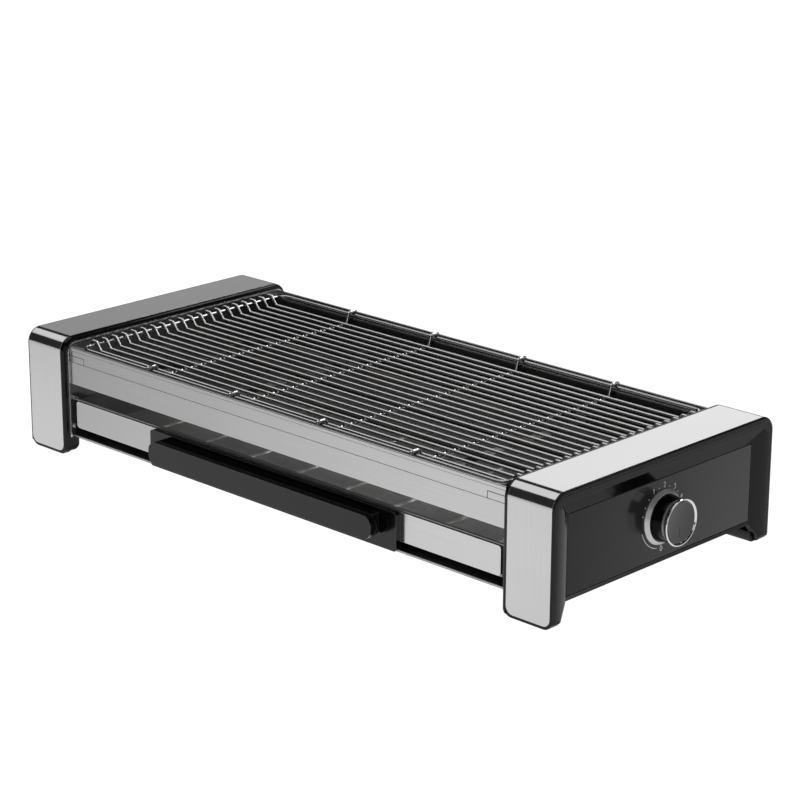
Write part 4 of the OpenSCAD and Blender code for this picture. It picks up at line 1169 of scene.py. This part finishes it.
@dataclass
class WireGrid(Assembly):
    """Chrome wire grid: round wires with smooth bends stand for the eight-sided ones.

    Attributes:
        wires: number of long wires.
        cross_wires: number of cross wires.
        cross_pitch: spacing of the cross wires.
        wire_r: radius of the long wires.
        cross_r: radius of the cross wires.
        slope: how far a long wire's slope lies inside its end, and how long it is along the wire.
        cross_slope: the same for a cross wire.
        tip_inset: how far the end of a tip's middle line lies inside the wire's box.
        curl_run: how far before its end a tip starts to curl down.
        curl_drop: how far it curls down.
        bend: radius of the bends.
        bend_steps: straights in each bend.
        sides: faces round a wire.
        weld_radii: radii of a weld along the three axes.
        weld_faces: bands and sides of a weld.
        slot: the record's material slot of the wires.
    """

    wires: int = 20
    cross_wires: int = 4
    cross_pitch: float = 98.0 * MM
    wire_r: float = 1.25 * MM
    cross_r: float = 1.4 * MM
    slope: Span = (6.5 * MM, 5.8 * MM)
    cross_slope: Span = (9.4 * MM, 3.0 * MM)
    tip_inset: float = 0.3 * MM
    curl_run: float = 0.99 * MM
    curl_drop: float = 1.76 * MM
    bend: float = 2.6 * MM
    bend_steps: int = 6
    sides: int = 14
    weld_radii: Point = (1.5 * MM, 1.25 * MM, 0.55 * MM)
    weld_faces: tuple[int, int] = (5, 8)
    slot: str = "wire_chrome"

    def build(self) -> None:
        """Dresses the rim and makes the wires and their welds."""
        self.dress(Finishes.RIM, "grid_rim")
        low, high = (np.array(corner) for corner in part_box("grid_long_wires"))
        centre = (low + high) / 2
        rows = np.linspace(low[1] + self.wire_r, high[1] - self.wire_r, self.wires)
        path = self.profile((high[0] - low[0]) / 2, low[2] + self.wire_r, high[2] - self.wire_r, self.slope)
        points = path[:, :1] * TO_CONTROL + path[:, 1:] * UP
        wire = Sweep.along(points, Sweep.circle(self.wire_r, self.sides), TO_REAR)
        offsets = centre[0] * TO_CONTROL + rows[:, None] * TO_REAR
        long_wires = self.piece("long_wires", Sweep.repeated(wire, offsets), Finishes.WIRE, Body.GRID,
                                self.slot)
        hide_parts("grid_long_wires")
        self.build_cross_wires(centre, rows, low[2])

    def build_cross_wires(self, centre: np.ndarray, rows: np.ndarray, seat_z: float) -> None:
        """Makes the cross wires and a weld at each crossing.

        Args:
            centre: middle of the grid.
            rows: places of the long wires, front to back.
            seat_z: height of the long wires' underside.
        """
        low, high = (np.array(corner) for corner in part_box("grid_cross_wires"))
        path = self.profile((high[1] - low[1]) / 2, low[2] + self.cross_r, high[2] - self.cross_r,
                            self.cross_slope)
        points = path[:, :1] * TO_REAR + path[:, 1:] * UP
        wire = Sweep.along(points, Sweep.circle(self.cross_r, self.sides), TO_CONTROL)
        columns = centre[0] + (np.arange(self.cross_wires) - (self.cross_wires - 1) / 2) * self.cross_pitch
        offsets = columns[:, None] * TO_CONTROL + (low[1] + high[1]) / 2 * TO_REAR
        cross = self.piece("cross_wires", Sweep.repeated(wire, offsets), Finishes.WIRE, Body.GRID, self.slot)
        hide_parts("grid_cross_wires")
        crossings = columns[:, None, None] * TO_CONTROL + rows[None, :, None] * TO_REAR + seat_z * UP
        welds = Sweep.repeated(Sweep.bead(self.weld_radii, *self.weld_faces), crossings.reshape(-1, 3))
        self.piece("grid_welds", welds, Finishes.WIRE, Body.GRID, self.slot)

    def profile(self, reach: float, low: float, high: float, slope: Span) -> np.ndarray:
        """Returns the smooth path of a wire as distance from its middle and height.

        Args:
            reach: distance of the tips from the middle.
            low: height of the flat stretch.
            high: height of the raised ends.
            slope: distance of the slope's top from the tip, and the slope's length along the wire.

        Returns:
            Places along the path, one a row.
        """
        tip = reach - self.tip_inset
        crest = reach - slope[0]
        half = np.array([[crest - slope[1], low], [crest, high], [tip - self.curl_run, high],
                         [tip, high - self.curl_drop]])
        whole = np.concatenate([half[::-1] * np.array([-1.0, 1.0]), half])
        return Sweep.rounded(whole, self.bend, self.bend_steps)


@dataclass(frozen=True)
class Softbox:
    """Rectangular soft light that faces a target.

    Attributes:
        name: name of the light.
        place: where it stands.
        target: what it faces.
        size: its width and height.
        watts: its power.
    """

    name: str
    place: Point
    target: Point
    size: Span
    watts: float

    def build(self) -> None:
        """Makes the light."""
        data = bpy.data.lights.new(self.name, "AREA")
        data.shape = "RECTANGLE"
        data.size, data.size_y = self.size
        data.energy = self.watts
        made = bpy.data.objects.new(self.name, data)
        made.location = self.place
        made.rotation_mode = "QUATERNION"
        made.rotation_quaternion = (Vector(self.target) - Vector(self.place)).to_track_quat("-Z", "Y")
        bpy.context.scene.collection.objects.link(made)


@dataclass
class Studio:
    """Pale floor, soft lights and the camera at the photograph's angle.

    Attributes:
        lens_mm: focal length of the camera.
        sensor_mm: width of its sensor.
        clip: nearest and farthest distance that it sees.
        eye: the camera's place.
        turns_deg: the camera's turns about X, Y and Z.
        floor_half: half the side of the floor.
        floor_tone: how much of the lamps' light the floor gives back.
        floor_roughness: roughness of the floor.
        floor_glow: brightness of the floor near the grill, as the grill reflects it.
        floor_far: the same far away.
        glow_span: distances at which the floor starts to darken and is down to that.
        room_tone: brightness of the room as the grill reflects it.
        seen_tone: brightness of floor and room as the camera sees them.
        softboxes: the lights.
    """

    lens_mm: float = 114.2
    sensor_mm: float = 36.0
    clip: Span = (0.05, 60.0)
    eye: Point = (1.347361, -1.375189, 0.703581)
    turns_deg: Point = (72.046, -0.2248, 44.0591)
    floor_half: float = 12.0
    floor_tone: float = 0.2
    floor_roughness: float = 0.9
    floor_glow: float = 0.95
    floor_far: float = 0.66
    glow_span: Span = (0.15, 0.9)
    room_tone: float = 0.03
    seen_tone: float = 1.0
    softboxes: tuple[Softbox, ...] = (
        Softbox("rear_overhead", (0.1, 1.3, 1.45), target=(0.1, 1.3, 0.0), size=(1.0, 0.5), watts=9.0),
        Softbox("rear_card", (-0.9, 1.5, 0.78), target=(0.27, 0.0, 0.1), size=(0.8, 0.8), watts=2.35),
        Softbox("left_card", (-1.9, 1.4, 0.7), target=(-0.28, 0.0, 0.1), size=(0.9, 0.7), watts=0.76),
        Softbox("overhead", (-0.7, -0.24, 1.45), target=(-0.7, -0.24, 0.0), size=(2.8, 1.4), watts=12.3),
        Softbox("front_card", (1.9, -1.9, 0.85), target=(0.0, 0.0, 0.1), size=(2.2, 1.0), watts=4.0),
        Softbox("side_card", (1.9, 1.9, 0.85), target=(0.0, 0.0, 0.1), size=(2.2, 1.0), watts=4.0),
    )

    def build(self) -> None:
        """Makes the camera, the floor, the room and the lights."""
        self.camera()
        self.floor()
        self.room()
        for softbox in self.softboxes:
            softbox.build()
        log.info("lit the studio with %d lights", len(self.softboxes))

    def camera(self) -> None:
        """Makes the camera from its solved place and turns."""
        data = bpy.data.cameras.new("camera")
        data.lens = self.lens_mm
        data.sensor_width = self.sensor_mm
        data.clip_start, data.clip_end = self.clip
        made = bpy.data.objects.new("camera", data)
        turn = Euler([math.radians(turn) for turn in self.turns_deg])
        made.matrix_world = Matrix.Translation(self.eye) @ turn.to_matrix().to_4x4()
        bpy.context.scene.collection.objects.link(made)
        bpy.context.scene.camera = made

    def seen_or(self, graph: Graph, reflected: Feed) -> Socket:
        """Returns the tone the camera sees, or another for every other ray."""
        camera_ray = graph.node("ShaderNodeLightPath").outputs["Is Camera Ray"]
        return graph.blend(camera_ray, reflected, grey(self.seen_tone))

    def floor(self) -> None:
        """Makes the pale floor, which glows less the farther it is from the grill."""
        half = self.floor_half
        mesh = bpy.data.meshes.new("floor")
        corners = [(-half, -half, 0.0), (half, -half, 0.0), (half, half, 0.0), (-half, half, 0.0)]
        mesh.from_pydata(corners, [], [(0, 1, 2, 3)])
        made = bpy.data.objects.new("floor", mesh)
        bpy.context.scene.collection.objects.link(made)
        paint = bpy.data.materials.new("pale_floor")
        paint.use_nodes = True
        graph = Graph(paint.node_tree)
        inputs = paint.node_tree.nodes["Principled BSDF"].inputs
        inputs["Base Color"].default_value = grey(self.floor_tone)
        inputs["Roughness"].default_value = self.floor_roughness
        inputs["Specular IOR Level"].default_value = 0.0
        inputs["Emission Strength"].default_value = 1.0
        place = graph.node("ShaderNodeTexCoord").outputs["Object"]
        away = graph.node("ShaderNodeVectorMath", {0: place}, operation="LENGTH").outputs["Value"]
        share = graph.spread(away, *self.glow_span, 0.0, 1.0)
        glow = graph.blend(share, grey(self.floor_glow), grey(self.floor_far))
        graph.feed(inputs["Emission Color"], self.seen_or(graph, glow))
        mesh.materials.append(paint)

    def room(self) -> None:
        """Gives the room a dim even light that the camera sees as white."""
        made = bpy.data.worlds.new("studio")
        made.use_nodes = True
        graph = Graph(made.node_tree)
        background = made.node_tree.nodes["Background"]
        graph.feed(background.inputs["Color"], self.seen_or(graph, grey(self.room_tone)))
        bpy.context.scene.world = made
        bpy.context.scene.view_settings.view_transform = "Standard"


def main() -> None:
    """Builds the studio, then every sub-assembly in order."""
    logging.basicConfig(level=logging.INFO, format="%(name)s: %(message)s")
    Studio().build()
    effects = Effects()
    for assembly in (EndHousings, SheetBody, Heater, Control, Drawer, WireGrid):
        assembly(effects).build()
        log.info("finished %s", assembly.__name__)
    bpy.context.view_layer.update()


if __name__ == "__main__":
    main()
